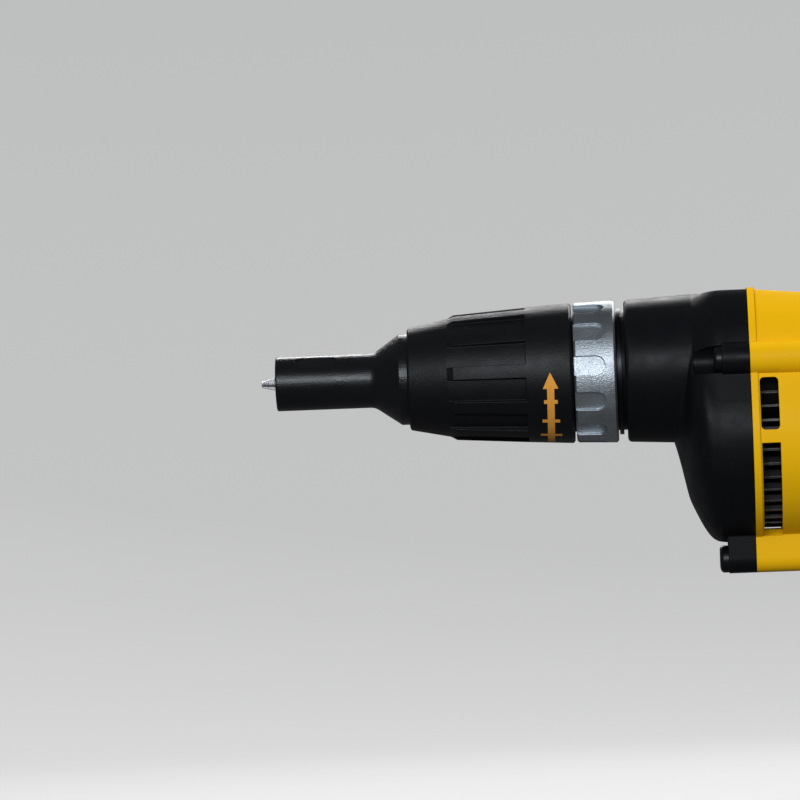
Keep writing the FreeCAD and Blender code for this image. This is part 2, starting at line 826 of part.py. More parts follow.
def tooth_outline(teeth, first_angle):
    """The outline of an involute gear in the YZ plane, with a tooth centred on first_angle."""
    pressure = math.radians(value("tooth_pressure_angle"))
    module = value("gear_module")
    pitch_radius = module * teeth / 2
    base_radius = pitch_radius * math.cos(pressure)
    tip_radius = pitch_radius + module * value("tooth_addendum")
    root_radius = pitch_radius - module * value("tooth_dedendum")
    flank_start = max(base_radius, root_radius)
    half_tooth = math.pi / (2 * teeth) - value("tooth_backlash") / (4 * pitch_radius)
    flank_count = 6

    def spread(radius):
        """Half the angle that a tooth takes up at a radius."""
        at = math.acos(min(base_radius / radius, 1.0))
        return half_tooth + math.tan(pressure) - pressure - math.tan(at) + at

    def polar(radius, angle):
        return FreeCAD.Vector(0, radius * math.cos(angle), radius * math.sin(angle))

    def flank(centre, hand):
        step = (tip_radius - flank_start) / (flank_count - 1)
        radii = [flank_start + step * k for k in range(flank_count)]
        curve = Part.BSplineCurve()
        curve.interpolate([polar(radius, centre + hand * spread(radius)) for radius in radii])
        return curve.toShape()

    edges = []
    pitch_angle = 2 * math.pi / teeth
    for index in range(teeth):
        centre = first_angle + index * pitch_angle
        root_half = spread(flank_start)
        if root_radius < flank_start:
            low, high = polar(root_radius, centre - root_half), polar(flank_start, centre - root_half)
            edges.append(Part.LineSegment(low, high).toShape())
        edges.append(flank(centre, -1))
        tip_half = spread(tip_radius)
        tip = [polar(tip_radius, centre + share * tip_half) for share in (-1, 0, 1)]
        edges.append(Part.Arc(*tip).toShape())
        edges.append(flank(centre, 1))
        if root_radius < flank_start:
            low, high = polar(root_radius, centre + root_half), polar(flank_start, centre + root_half)
            edges.append(Part.LineSegment(high, low).toShape())
        valley = [centre + root_half, centre + pitch_angle / 2, centre + pitch_angle - root_half]
        edges.append(Part.Arc(*[polar(root_radius, angle) for angle in valley]).toShape())
    return Part.Wire(Part.__sortEdges__(edges))


def toothed_prism(name, teeth, first_angle, start, length, drop):
    """A spur gear blank with its teeth, along X from start."""
    prism = doc.addObject("Part::Feature", name)
    face = Part.Face(tooth_outline(int(teeth), math.radians(first_angle)))
    prism.Shape = face.extrude(FreeCAD.Vector(length, 0, 0))
    prism.Placement = FreeCAD.Placement(FreeCAD.Vector(start, 0, -drop), FreeCAD.Rotation())
    return prism


# Nose: nosepiece, depth sleeve, collar and rings


def make_nosepiece():
    body = turned(
        "nosepiece",
        [
            ("0", "nose_bore"),
            ("0", "nose_radius - small_edge", "small_edge", -1),
            ("small_edge", "nose_radius"),
            ("nose_tube_length", "nose_radius"),
            ("land_front", "nose_land_radius"),
            ("nose_rear - small_edge", "nose_land_radius"),
            ("nose_rear", "nose_land_radius - small_edge"),
            ("nose_rear", "shank_bore"),
            ("land_front + nose_wall", "shank_bore"),
            ("nose_tube_length + nose_wall", "nose_bore"),
        ],
    )
    flare = value("nose_tube_length")

    def meets_flare(edge):
        box = edge.BoundBox
        outside = abs(box.ZMax - value("nose_radius")) < 0.01
        return outside and abs(box.XMin - flare) < 0.01 and abs(box.XMax - flare) < 0.01

    round_edges(body, "nose_flare_round", meets_flare)
    # A plain shallow panel on the upper side, turned towards the left
    sketch = sketch_on(body, "XY_Plane", shift="nose_radius - nose_panel_depth")
    half = "nose_panel_width / 2"
    front = f"nose_panel_front + {half}"
    rear = f"nose_panel_front + nose_panel_length - {half}"
    corners = [(front, f"-{half}"), (rear, f"-{half}", half, 1), (rear, half), (front, half, half, 1)]
    draw_outline(sketch, corners)
    panel = feature(body, "Pocket", sketch, Length="nose_panel_depth * 3")
    panel.Reversed = True
    body.Placement = FreeCAD.Placement(FreeCAD.Vector(), FreeCAD.Rotation(FreeCAD.Vector(1, 0, 0), 1))
    bind(body, Placement__Rotation__Angle="nose_panel_tilt")
    return keep(body, "nosepiece")


def make_depth_sleeve():
    relief_front = "snap_ring_front - free_gap"
    relief_rear = "snap_ring_rear + free_gap"
    relief = "neck_radius + snap_ring_depth + free_gap"
    step = "neck_front - snap_ring_width"
    body = turned(
        "depth_sleeve",
        [
            ("sleeve_front", "thread_bore"),
            ("sleeve_front", "sleeve_front_radius - sleeve_edge", "sleeve_edge", -1),
            ("sleeve_front + sleeve_edge", "sleeve_front_radius"),
            ("rib_front", "sleeve_cone_radius"),
            ("rib_front + rib_slope", "rib_front_radius"),
            ("band_front", "rib_rear_radius"),
            ("sleeve_rear - small_edge", "band_rear_radius"),
            ("sleeve_rear", "band_rear_radius - small_edge"),
            ("sleeve_rear", "neck_bore"),
            (relief_rear, "neck_bore"),
            (relief_rear, relief),
            (relief_front, relief),
            (relief_front, "neck_bore"),
            (step, "neck_bore"),
            (step, "thread_bore"),
        ],
        roll="90 - 2.5 * 360 / rib_count - rib_phase",
    )
    above = "band_rear_radius + sleeve_edge"
    corners = [("rib_front", "sleeve_cone_radius"), ("band_front", "recess_rear_radius")]
    corners += [("band_front", above), ("rib_front", above)]
    recess = turn_about_x(body, corners, "Groove", "360 / rib_count - rib_angle")
    repeat_about_x(body, [recess], "rib_count")
    return keep(body, "depth_sleeve")


def make_lock_collar():
    body = turned(
        "lock_collar",
        [
            ("collar_front", "neck_bore"),
            ("collar_front", "collar_front_radius - small_edge"),
            ("collar_front + small_edge", "collar_front_radius"),
            ("collar_rear - small_edge", "collar_rear_radius"),
            ("collar_rear", "collar_rear_radius - small_edge"),
            ("collar_rear", "neck_bore"),
        ],
        roll="90 - 3 * 360 / scoop_count - scoop_phase",
    )
    half = "scoop_width / 2"
    round_start = f"collar_front + scoop_length - {half}"
    before = "collar_front - small_edge"
    sketch = sketch_on(body, "XY_Plane", shift="collar_front_radius - scoop_depth")
    corners = [(before, f"-{half}"), (round_start, f"-{half}", half, 1), (round_start, half), (before, half)]
    draw_outline(sketch, corners)
    scoop = feature(body, "Pocket", sketch, Length="scoop_depth * 3")
    scoop.Reversed = True
    repeat_about_x(body, [scoop], "scoop_count")
    return keep(body, "lock_collar")


def make_nose_rings():
    """The snap ring that holds the sleeve, its O-ring, and the ring behind the collar."""
    snap = ring(
        "sleeve_snap_ring",
        "snap_ring_front",
        "snap_ring_rear",
        "neck_radius - snap_ring_depth + seat_fit",
        "neck_radius + snap_ring_depth",
    )
    keep(snap, "sleeve_snap_ring")
    o_ring = doc.addObject("Part::Torus", "sleeve_o_ring")
    upright = FreeCAD.Rotation(FreeCAD.Vector(0, 1, 0), 90)
    o_ring.Placement = FreeCAD.Placement(FreeCAD.Vector(), upright)
    bind(o_ring, Radius1="neck_radius + slide_fit / 2 - o_ring_wire / 2", Radius2="o_ring_wire / 2")
    bind(o_ring, Placement__Base__x="o_ring_centre")
    keep(o_ring, "sleeve_o_ring")
    groove_ring = ring(
        "collar_ring",
        "collar_rear + free_gap",
        "collar_rear + free_gap + collar_ring_wire",
        "neck_radius + seat_fit",
        "neck_radius + seat_fit + collar_ring_wire",
    )
    keep(groove_ring, "collar_ring")


# Gear case and its screws


def case_sections():
    """The gear case's outlines from inside the nose barrel back to the flange."""

    def grown(end, share):
        if SIZES[share] < 0:
            return f"(barrel_rear_radius * (1 + {share}))"
        return f"(barrel_rear_radius + ({end} - barrel_rear_radius) * {share})"

    sections = []
    for station in CASE_STATIONS:
        shoulder = grown("shoulder_radius", station + "_shoulder")
        outline = egg(
            lower=grown("motor_radius", station + "_width"),
            drop=f"(axis_drop * {station}_drop)",
            upper=shoulder,
            top=f"({shoulder} - crown_cut * {station}_crown)",
        )
        sections.append((f"case_front + {station}_at", outline))
    return sections


def make_gear_case():
    ring_depth = "neck_radius - snap_ring_depth"
    o_ring_floor = "neck_radius + slide_fit / 2 - o_ring_wire - seat_fit"
    o_ring_front = "o_ring_centre - o_ring_wire / 2 - seat_fit"
    o_ring_rear = "o_ring_centre + o_ring_wire / 2 + seat_fit"
    body = turned(
        "gear_case",
        [
            ("guide_front", "guide_bore"),
            ("guide_front", "guide_radius"),
            ("neck_pocket_end", "guide_radius"),
            ("neck_pocket_end", "neck_inner"),
            ("neck_front", "neck_inner"),
            ("neck_front", "neck_radius"),
            ("snap_ring_front - seat_fit", "neck_radius"),
            ("snap_ring_front - seat_fit", ring_depth),
            ("snap_ring_rear + seat_fit", ring_depth),
            ("snap_ring_rear + seat_fit", "neck_radius"),
            (o_ring_front, "neck_radius"),
            (o_ring_front, o_ring_floor),
            (o_ring_rear, o_ring_floor),
            (o_ring_rear, "neck_radius"),
            ("case_front", "neck_radius"),
            ("case_front", "barrel_front_radius - barrel_edge", "barrel_edge", -1),
            ("case_front + barrel_edge", "barrel_front_radius"),
            ("barrel_rear", "barrel_rear_radius"),
            ("plate_front", "barrel_rear_radius"),
            ("plate_front", "bush_radius"),
            ("seal_front", "bush_radius"),
            ("seal_front", "guide_bore"),
        ],
    )
    loft_along_x(body, case_sections())
    pad_along_x(body, lambda sketch: draw_outline(sketch, egg()), "case_front + belly_g_at", "case_rear")
    for side in ("upper_boss_side", "-upper_boss_side"):
        pad_along_x(
            body,
            lambda sketch: draw_circle(sketch, side, "upper_boss_rise", "upper_boss_radius"),
            "boss_front",
            "case_rear",
        )
        cut_along_x(
            body,
            lambda sketch: draw_circle(sketch, side, "upper_boss_rise", "screw_head_radius + free_gap"),
            "boss_front - access_length",
            "boss_front",
        )
    for side in ("lower_boss_spread", "-lower_boss_spread"):
        pad_along_x(body, lambda sketch: draw_outline(sketch, boss_below(side)), "boss_front", "case_rear")
    # Room inside for the gear, the pinion and the bearing plate
    chamber = [("chamber_front", "0"), ("plate_front", "0")]
    chamber += [("plate_front", "chamber_radius"), ("chamber_front", "chamber_radius")]
    turn_about_x(body, chamber, "Groove")
    cavity_front = "gear_front - free_gap * 2"
    belly = [
        (cavity_front, "0"),
        ("plate_front", "0"),
        ("plate_front", "motor_radius - case_wall"),
        ("case_front + belly_f_at + case_wall", "motor_radius - case_wall"),
        ("case_front + belly_e_at + case_wall", "motor_radius * cavity_rear_share"),
        ("case_front + belly_d_at + case_wall", "motor_radius * cavity_middle_share"),
        (cavity_front, "motor_radius * cavity_front_share"),
    ]
    turn_about_x(body, belly, "Groove", rise="-axis_drop")
    cut_along_x(body, lambda sketch: draw_outline(sketch, egg("case_wall")), "plate_front", "case_rear")
    hole = "case_screw_radius + free_gap / 2"
    for side, rise in screw_places():
        cut_along_x(body, lambda sketch: draw_circle(sketch, side, rise, hole), "boss_front", "case_rear")
    return keep(body, "gear_case")


def screw_places():
    upper = [("upper_boss_side", "upper_boss_rise"), ("-upper_boss_side", "upper_boss_rise")]
    lower = [("lower_boss_spread", "-lower_boss_drop"), ("-lower_boss_spread", "-lower_boss_drop")]
    return upper + lower


def make_case_screws():
    """Pan-head screws with a hexagon socket, from the gear case into the housing bosses."""
    screws = []
    for index, (side, rise) in enumerate(screw_places()):
        head_front = "boss_front - screw_head_height"
        body = turned(
            f"case_screw_{index}",
            [
                (head_front, "0"),
                (head_front, "screw_head_radius - small_edge * 2", "small_edge * 2", -1),
                (f"{head_front} + small_edge * 2", "screw_head_radius"),
                ("boss_front", "screw_head_radius"),
                ("boss_front", "case_screw_radius"),
                ("boss_front + case_screw_length", "case_screw_radius"),
                ("boss_front + case_screw_length", "0"),
            ],
        )
        bind(body, Placement__Base__y=side, Placement__Base__z=rise)
        drive_end = f"{head_front} + screw_drive_depth"
        cut_along_x(body, lambda sketch: draw_hexagon(sketch, "screw_drive_radius"), head_front, drive_end)
        screws.append(body)
    return keep(group("gear_case_screws", screws), "gear_case_screws")


# Spindle line: bit, holder, spindle, clutch and drive gear


def make_bit_and_holder():
    neck_front = "bit_tip + bit_tip_length"
    bit = turned(
        "screwdriver_bit",
        [
            ("bit_tip", "0"),
            ("bit_tip", "bit_point_radius"),
            (neck_front, "bit_neck_radius"),
            ("bit_hex_front", "bit_neck_radius"),
            ("bit_hex_front", "0"),
        ],
    )
    pad_along_x(bit, lambda sketch: draw_hexagon(sketch, "hex_corner"), "bit_hex_front", "bit_rear")
    # Four flutes leave the cross-shaped point
    flute = [("bit_wing / 2", "bit_wing / 2"), ("bit_neck_radius * 2", "bit_wing / 2")]
    flute += [("bit_neck_radius * 2", "bit_neck_radius * 2"), ("bit_wing / 2", "bit_neck_radius * 2")]
    flute_end = "bit_tip + bit_tip_length * 0.75"
    first = cut_along_x(bit, lambda sketch: draw_outline(sketch, flute), "bit_tip", flute_end)
    repeat_about_x(bit, [first], "4")
    keep(bit, "screwdriver_bit")

    holder = turned(
        "bit_holder",
        [
            ("holder_front", "0"),
            ("holder_front", "holder_radius - small_edge"),
            ("holder_front + small_edge", "holder_radius"),
            ("holder_rear - small_edge", "holder_radius"),
            ("holder_rear", "holder_radius - small_edge"),
            ("holder_rear", "0"),
        ],
    )
    shank_end = "holder_rear + holder_shank"
    pad_along_x(holder, lambda sketch: draw_hexagon(sketch, "hex_corner"), "holder_rear", shank_end)
    socket = "hex_corner + seat_fit"
    cut_along_x(holder, lambda sketch: draw_hexagon(sketch, socket), "holder_front", "bit_rear + seat_fit")
    magnet_hole = "magnet_radius + seat_fit"
    cut_along_x(holder, lambda sketch: draw_circle(sketch, "0", "0", magnet_hole), "holder_front", "magnet_rear")
    keep(holder, "bit_holder")
    magnet = ring("bit_magnet", "bit_rear + seat_fit", "magnet_rear", "0", "magnet_radius")
    keep(magnet, "bit_magnet")


def draw_dogs(sketch, inner, outer, turn):
    """One clutch dog: a sector between two radii, centred on an angle from Y."""
    half = "dog_angle / 2"

    def spot(radius, angle):
        return f"({radius}) * cos({angle})", f"({radius}) * sin({angle})"

    low, high = f"{turn} - {half}", f"{turn} + {half}"
    corners = [spot(inner, low), (*spot(outer, low), outer, 1), spot(outer, high), (*spot(inner, high), inner, -1)]
    return draw_outline(sketch, corners)


def make_spindle():
    body = turned(
        "spindle",
        [
            ("spindle_front", "0"),
            ("spindle_front", "spindle_radius - small_edge"),
            ("spindle_front + small_edge", "spindle_radius"),
            ("jaw_front", "spindle_radius"),
            ("jaw_front", "spindle_tail_radius"),
            ("spindle_rear", "spindle_tail_radius"),
            ("spindle_rear", "0"),
        ],
    )
    socket_end = "spindle_front + holder_shank + small_edge"
    cut_along_x(body, lambda sketch: draw_hexagon(sketch, "hex_corner + seat_fit"), "spindle_front", socket_end)
    keep(body, "spindle")
    jaw = ring("clutch_jaw", "jaw_front", "jaw_face", "spindle_tail_radius", "jaw_radius")
    turn = "90 + 180 / dog_count"
    dog = pad_along_x(
        jaw, lambda sketch: draw_dogs(sketch, "dog_inner_radius", "jaw_radius", turn), "jaw_face", "jaw_dog_tip"
    )
    repeat_about_x(jaw, [dog], "dog_count")
    keep(jaw, "clutch_jaw")


def make_clutch_spring():
    start = FreeCAD.Vector(value("jaw_face"), 0, 0)
    spring = coil(
        "clutch_spring",
        start,
        (1, 0, 0),
        value("gear_front - jaw_face"),
        value("clutch_spring_radius"),
        value("clutch_spring_wire"),
        value("clutch_spring_turns"),
    )
    return keep(spring, "clutch_spring")


def make_drive_gear():
    blank = toothed_prism(
        "drive_gear_teeth", value("gear_teeth"), -90, value("gear_front"), value("gear_width"), 0
    )
    dogs = ring("drive_gear_dogs", "gear_front", "gear_rear", "spindle_tail_radius + slide_fit", "jaw_radius")
    dog = pad_along_x(
        dogs, lambda sketch: draw_dogs(sketch, "dog_inner_radius", "jaw_radius", "90"), "gear_dog_tip", "gear_front"
    )
    repeat_about_x(dogs, [dog], "dog_count")
    bore = rod(
        "drive_gear_bore", "X", ("gear_front", "0", "0"), "spindle_tail_radius + slide_fit", "gear_width"
    )
    bored = cut("drive_gear_bored", blank, [bore])
    return keep(fuse("drive_gear", [bored, dogs]), "drive_gear")


def make_spindle_supports():
    bush = ring("spindle_bush", "bush_front", "chamber_front", "spindle_radius + slide_fit", "bush_radius")
    keep(bush, "spindle_bush")
    seal = ring("spindle_seal", "seal_front", "bush_front", "spindle_radius + slide_fit", "bush_radius")
    keep(seal, "spindle_seal")
    washer = ring(
        "thrust_washer",
        "thrust_washer_front",
        "plate_front - seat_fit",
        "spindle_tail_radius + slide_fit",
        "thrust_washer_radius",
    )
    keep(washer, "thrust_washer")
    tail = ring(
        "spindle_tail_bush", "plate_front", "case_rear", "spindle_tail_radius + slide_fit", "tail_bush_radius"
    )
    keep(tail, "spindle_tail_bush")


def make_bearing_plate():
    """The plate between gears and motor, with the seats of the motor bearing and the tail bush."""
    body = new_body("bearing_plate")
    pad_along_x(
        body, lambda sketch: draw_outline(sketch, egg("case_wall + seat_fit")), "plate_front", "case_rear"
    )
    boss = "front_bearing_radius + plate_boss_wall"
    pad_along_x(body, lambda sketch: draw_circle(sketch, "0", "-axis_drop", boss), "case_rear", "plate_boss_rear")
    seat = "front_bearing_radius"
    cut_along_x(
        body, lambda sketch: draw_circle(sketch, "0", "-axis_drop", seat), "front_bearing_front", "plate_boss_rear"
    )
    lip = "front_bearing_radius - race_thickness"
    cut_along_x(
        body, lambda sketch: draw_circle(sketch, "0", "-axis_drop", lip), "plate_front", "front_bearing_front"
    )
    cut_along_x(body, lambda sketch: draw_circle(sketch, "0", "0", "tail_bush_radius"), "plate_front", "case_rear")
    return keep(body, "bearing_plate")


# Motor


def make_ball_bearing(label, front, rear, bore, outer, balls):
    """An outer race with its balls, and an inner race that turns with the shaft."""
    outer_race = ring(label + "_race", front, rear, f"{outer} - race_thickness", outer, drop="axis_drop")
    keep(ring(label + "_inner", front, rear, bore, f"{bore} + race_thickness", drop="axis_drop"), label + "_inner")
    pieces = [outer_race]
    middle = f"(({outer}) + ({bore})) / 2"
    for index in range(balls):
        ball = doc.addObject("Part::Sphere", label + "_ball")
        bind(ball, Radius=f"(({outer}) - ({bore})) / 2 - race_thickness - seat_fit / 2")
        angle = f"{index} * 360 / {balls}"
        bind(ball, Placement__Base__x=f"(({front}) + ({rear})) / 2")
        bind(ball, Placement__Base__y=f"{middle} * cos({angle})")
        bind(ball, Placement__Base__z=f"{middle} * sin({angle}) - axis_drop")
        pieces.append(ball)
    keep(group(label + "_outer", pieces), label + "_outer")


def make_bearings():
    make_ball_bearing(
        "front_bearing", "front_bearing_front", "front_bearing_rear", "shaft_radius", "front_bearing_radius", 7
    )
    make_ball_bearing(
        "rear_bearing", "rear_bearing_front", "rear_bearing_rear", "shaft_tail_radius", "rear_bearing_radius", 7
    )
    boot = turned(
        "bearing_boot",
        [
            ("rear_bearing_front", "rear_bearing_radius"),
            ("rear_bearing_rear", "rear_bearing_radius"),
            ("rear_bearing_rear", "rear_bearing_radius - race_thickness"),
            ("boot_rear", "rear_bearing_radius - race_thickness"),
            ("boot_rear", "boot_radius"),
            ("rear_bearing_front", "boot_radius"),
        ],
        drop="axis_drop",
    )
    keep(boot, "bearing_boot")


def make_armature():
    """The shaft with its cut pinion, the slotted core, the windings and the commutator."""
    pinion_front = "gear_front"
    pinion_rear = "thrust_washer_front"
    pinion = toothed_prism(
        "pinion_teeth",
        value("pinion_teeth"),
        90 + 180 / value("pinion_teeth"),
        value(pinion_front),
        value(f"{pinion_rear} - ({pinion_front})"),
        value("axis_drop"),
    )
    shaft = turned(
        "armature_rod",
        [
            (pinion_rear, "0"),
            (pinion_rear, "shaft_radius"),
            ("commutator_rear", "shaft_radius"),
            ("commutator_rear", "shaft_tail_radius"),
            ("shaft_rear", "shaft_tail_radius"),
            ("shaft_rear", "0"),
        ],
        drop="axis_drop",
    )
    keep(fuse("armature_shaft", [pinion, shaft]), "armature_shaft")

    core = ring("armature_core", "stator_front", "stator_rear", "shaft_radius", "armature_radius", drop="axis_drop")
    half = "armature_slot_width / 2"
    floor = "armature_radius - armature_slot_depth"
    above = "armature_radius + small_edge"
    slot = cut_along_x(
        core, lambda sketch: draw_box(sketch, f"-{half}", half, floor, above), "stator_front", "stator_rear"
    )
    repeat_about_x(core, [slot], "armature_slots")
    keep(core, "armature_core")

    ends = []
    for name, face, tip in (
        ("winding_front", "stator_front", "stator_front - winding_overhang"),
        ("winding_rear", "stator_rear", "stator_rear + winding_overhang"),
    ):
        inner = "shaft_radius + small_edge"
        waist = "winding_outer_radius * winding_waist_share"
        corners = [(face, inner), (face, "winding_outer_radius"), (tip, waist), (tip, inner)]
        ends.append(turned(name, corners, drop="axis_drop"))
    keep(group("armature_windings", ends), "armature_windings")

    commutator = ring(
        "commutator", "commutator_front", "commutator_rear", "shaft_radius", "commutator_radius", drop="axis_drop"
    )
    half = "bar_gap / 2"
    floor = "commutator_radius - bar_gap * 2"
    above = "commutator_radius + small_edge"
    gap = cut_along_x(
        commutator,
        lambda sketch: draw_box(sketch, f"-{half}", half, floor, above),
        "commutator_front",
        "commutator_rear",
    )
    repeat_about_x(commutator, [gap], "commutator_bars")
    keep(commutator, "commutator")


def make_cooling_fan():
    fan = turned(
        "cooling_fan",
        [
            ("fan_front", "shaft_radius"),
            ("fan_front", "fan_hub_radius"),
            ("fan_plate_front", "fan_hub_radius"),
            ("fan_plate_front", "fan_radius"),
            ("fan_rear", "fan_radius"),
            ("fan_rear", "shaft_radius"),
        ],
        drop="axis_drop",
    )
    half = "fan_blade_thickness / 2"
    foot, tip = "fan_radius * fan_blade_foot_share", "fan_radius - small_edge"
    blade = pad_along_x(
        fan,
        lambda sketch: draw_box(sketch, f"-{half}", half, foot, tip),
        "fan_front",
        "fan_plate_front + seat_fit",
    )
    repeat_about_x(fan, [blade], "fan_blade_count")
    return keep(fan, "cooling_fan")


def draw_stator(sketch):
    """The stator's section: a ring with two pole shoes, above and below the armature."""
    draw_circle(sketch, "0", "0", "stator_radius")
    corners = []
    for middle in ("90", "270"):
        low, high = f"({middle} - pole_angle / 2)", f"({middle} + pole_angle / 2)"
        inwards = (low, "stator_slot_radius", "pole_radius")
        outwards = (high, "pole_radius", "stator_slot_radius")
        for angle, first, second in (inwards, outwards):
            for radius in (first, second):
                spot = (f"{radius} * cos({angle})", f"{radius} * sin({angle})")
                leaves_on_arc = radius == second
                corners.append((*spot, radius, 1) if leaves_on_arc else spot)
    return draw_outline(sketch, corners)


def make_stator():
    core = new_body("stator_core", drop="axis_drop")
    pad_along_x(core, draw_stator, "stator_front", "stator_rear")
    keep(core, "stator_core")
    coils = []
    for name, roll in (("field_coil_upper", "0"), ("field_coil_lower", "180")):
        body = new_body(name, drop="axis_drop", roll=roll)
        front, rear = "stator_front - coil_overhang", "stator_rear + coil_overhang"
        corners = [(front, "coil_inner_radius"), (rear, "coil_inner_radius")]
        corners += [(rear, "coil_outer_radius"), (front, "coil_outer_radius")]
        turn_about_x(body, corners, angle="coil_angle")
        inside, outside = "coil_inner_radius - small_edge", "coil_outer_radius + small_edge"
        face, back = "stator_front - free_gap", "stator_rear + free_gap"
        pole = [(face, inside), (back, inside), (back, outside), (face, outside)]
        turn_about_x(body, pole, "Groove", "pole_angle + 2 * coil_side_gap_angle")
        coils.append(body)
    keep(group("field_coils", coils), "field_coils")
    baffle_rear = "baffle_front + baffle_thickness"
    baffle = ring("fan_baffle", "baffle_front", baffle_rear, "baffle_bore", "stator_radius", drop="axis_drop")
    keep(baffle, "fan_baffle")


def brush_piece(name, draw, near, far):
    """A left-hand brush piece: a sketch square to Y, padded between two distances from the shaft."""
    body = new_body(name, drop="axis_drop")
    bind(body, Placement__Base__x="brush_centre")
    feature(body, "Pad", draw(sketch_on(body, "XZ_Plane", shift=near)), Length=f"({far}) - ({near})")
    return body


def make_brush_gear():
    half_width, half_thick = "brush_width / 2", "brush_thickness / 2"
    near = "commutator_radius + slide_fit"
    brush = brush_piece(
        "brush_left",
        lambda sketch: draw_box(sketch, f"-{half_width}", half_width, f"-{half_thick}", half_thick),
        near,
        "brush_tail",
    )
    keep(group("carbon_brushes", [brush, mirrored("brush_right", brush)]), "carbon_brushes")

    room_wide, room_thick = f"{half_width} + slide_fit", f"{half_thick} + slide_fit"
    wide, thick = f"({room_wide} + brush_holder_wall)", f"({room_thick} + brush_holder_wall)"
    holder = brush_piece(
        "holder_left",
        lambda sketch: draw_box(sketch, f"-{wide}", wide, f"-{thick}", thick),
        "brush_holder_inner",
        "brush_holder_outer",
    )
    sketch = sketch_on(holder, "XZ_Plane", shift="brush_holder_cap")
    draw_box(sketch, f"-({room_wide})", room_wide, f"-({room_thick})", room_thick)
    feature(holder, "Pocket", sketch, Length="brush_holder_cap - brush_holder_inner")
    keep(group("brush_holders", [holder, mirrored("holder_right", holder)]), "brush_holders")

    start = FreeCAD.Vector(value("brush_centre"), -value("brush_tail"), -value("axis_drop"))
    spring = coil(
        "brush_spring_left",
        start,
        (0, -1, 0),
        value("brush_holder_cap - brush_tail"),
        value("brush_spring_radius"),
        value("brush_spring_wire"),
        value("brush_spring_turns"),
    )
    keep(group("brush_springs", [spring, mirrored("brush_spring_right", spring)]), "brush_springs")


# Housing halves


def handle_section(name, turn, drop, near, far, half_width, wall):
    """One oval section of the handle, on a spoke or a level below the pivot, inset by a wall."""
    oval = doc.addObject("Part::Ellipse", name)
    # The oval's long axis starts along X in the plane X-Y; it is raised to its spoke about Y
    oval.Placement = FreeCAD.Placement(FreeCAD.Vector(), FreeCAD.Rotation(FreeCAD.Vector(0, 1, 0), 1))
    bind(oval, Placement__Rotation__Angle=f"({turn}) - 90")
    middle = f"(({near}) + ({far})) / 2"
    bind(oval, MajorRadius=f"(({far}) - ({near})) / 2 - ({wall})", MinorRadius=f"{half_width} - ({wall})")
    bind(oval, Placement__Base__x=f"housing_rear + {middle} * sin({turn})")
    bind(oval, Placement__Base__z=f"{middle} * cos({turn}) - handle_pivot_drop - ({drop})")
    return oval


def handle_loft(name, wall, floor):
    """The handle as a smooth loft through its sections, inset by a wall and stopped above its floor."""
    ovals = []
    for spoke in ("spoke_a", *HANDLE_SPOKES):
        sizes_of = [f"{spoke}_{part}" for part in ("turn", "near", "far", "half")]
        turn, near, far, half_width = sizes_of
        ovals.append(handle_section(name + "_" + spoke, turn, "0", near, far, half_width, wall))
    last = list(HANDLE_LEVELS)[-1]
    for level in HANDLE_LEVELS:
        drop = f"handle_length * {level}_share" + (f" - ({floor})" if level == last else "")
        ovals.append(
            handle_section(name + "_" + level, "90", drop, f"{level}_near", f"{level}_far", f"{level}_half", wall)
        )
    loft = doc.addObject("Part::Loft", name)
    loft.Sections = ovals
    loft.Solid = True
    loft.Ruled = False
    return loft


def motor_tube(name, inset, front, rear):
    """The motor part of the housing as a loft between the gear case flange and the handle."""
    tail_share = f"((({rear}) - case_rear) / (housing_rear - case_rear))"

    def at_share(start, end, share):
        return f"({start} + ({end} - ({start})) * {share})"

    tail = egg(
        inset,
        upper=at_share("shoulder_radius", "tail_shoulder_radius", tail_share),
        top=at_share("crown", "tail_crown", tail_share),
        upper_rise=at_share("0", "-tail_shoulder_drop", tail_share),
    )
    body = new_body(name)
    loft_along_x(body, [(front, egg(inset)), (rear, tail)])
    return body


def make_housing_form():
    """The outer form of both halves together, before it is hollowed."""
    tube = motor_tube("motor_form", "0", "case_rear", "housing_rear")
    lip_end = "case_rear + lip_width"
    pad_along_x(tube, lambda sketch: draw_outline(sketch, egg("-lip_rise")), "case_rear", lip_end)
    boss_end = "case_rear + housing_boss_length"
    for side in ("lower_boss_spread", "-lower_boss_spread"):
        pad_along_x(tube, lambda sketch: draw_outline(sketch, boss_below(side)), "case_rear", boss_end)
    return fuse("housing_form", [tube, handle_loft("handle_form", "0", "0")])


def make_housing_inside():
    """What is added inside the shell: the upper screw bosses and the posts of the seam screws."""
    pieces = []
    for side in ("upper_boss_side", "-upper_boss_side"):
        place = ("case_rear", side, "upper_boss_rise")
        pieces.append(rod("upper_boss", "X", place, "upper_boss_radius", "housing_boss_length"))
    reach = "motor_radius"
    posts = []
    for screw in SEAM_SCREWS:
        place = (f"{screw}_x", f"-{reach}", f"{screw}_z")
        posts.append(rod(screw + "_post", "Y", place, "post_radius", f"2 * {reach}"))
    inside_form = common("seam_posts", [fuse("seam_post_rods", posts), doc.getObject("housing_form")])
    return pieces + [inside_form]


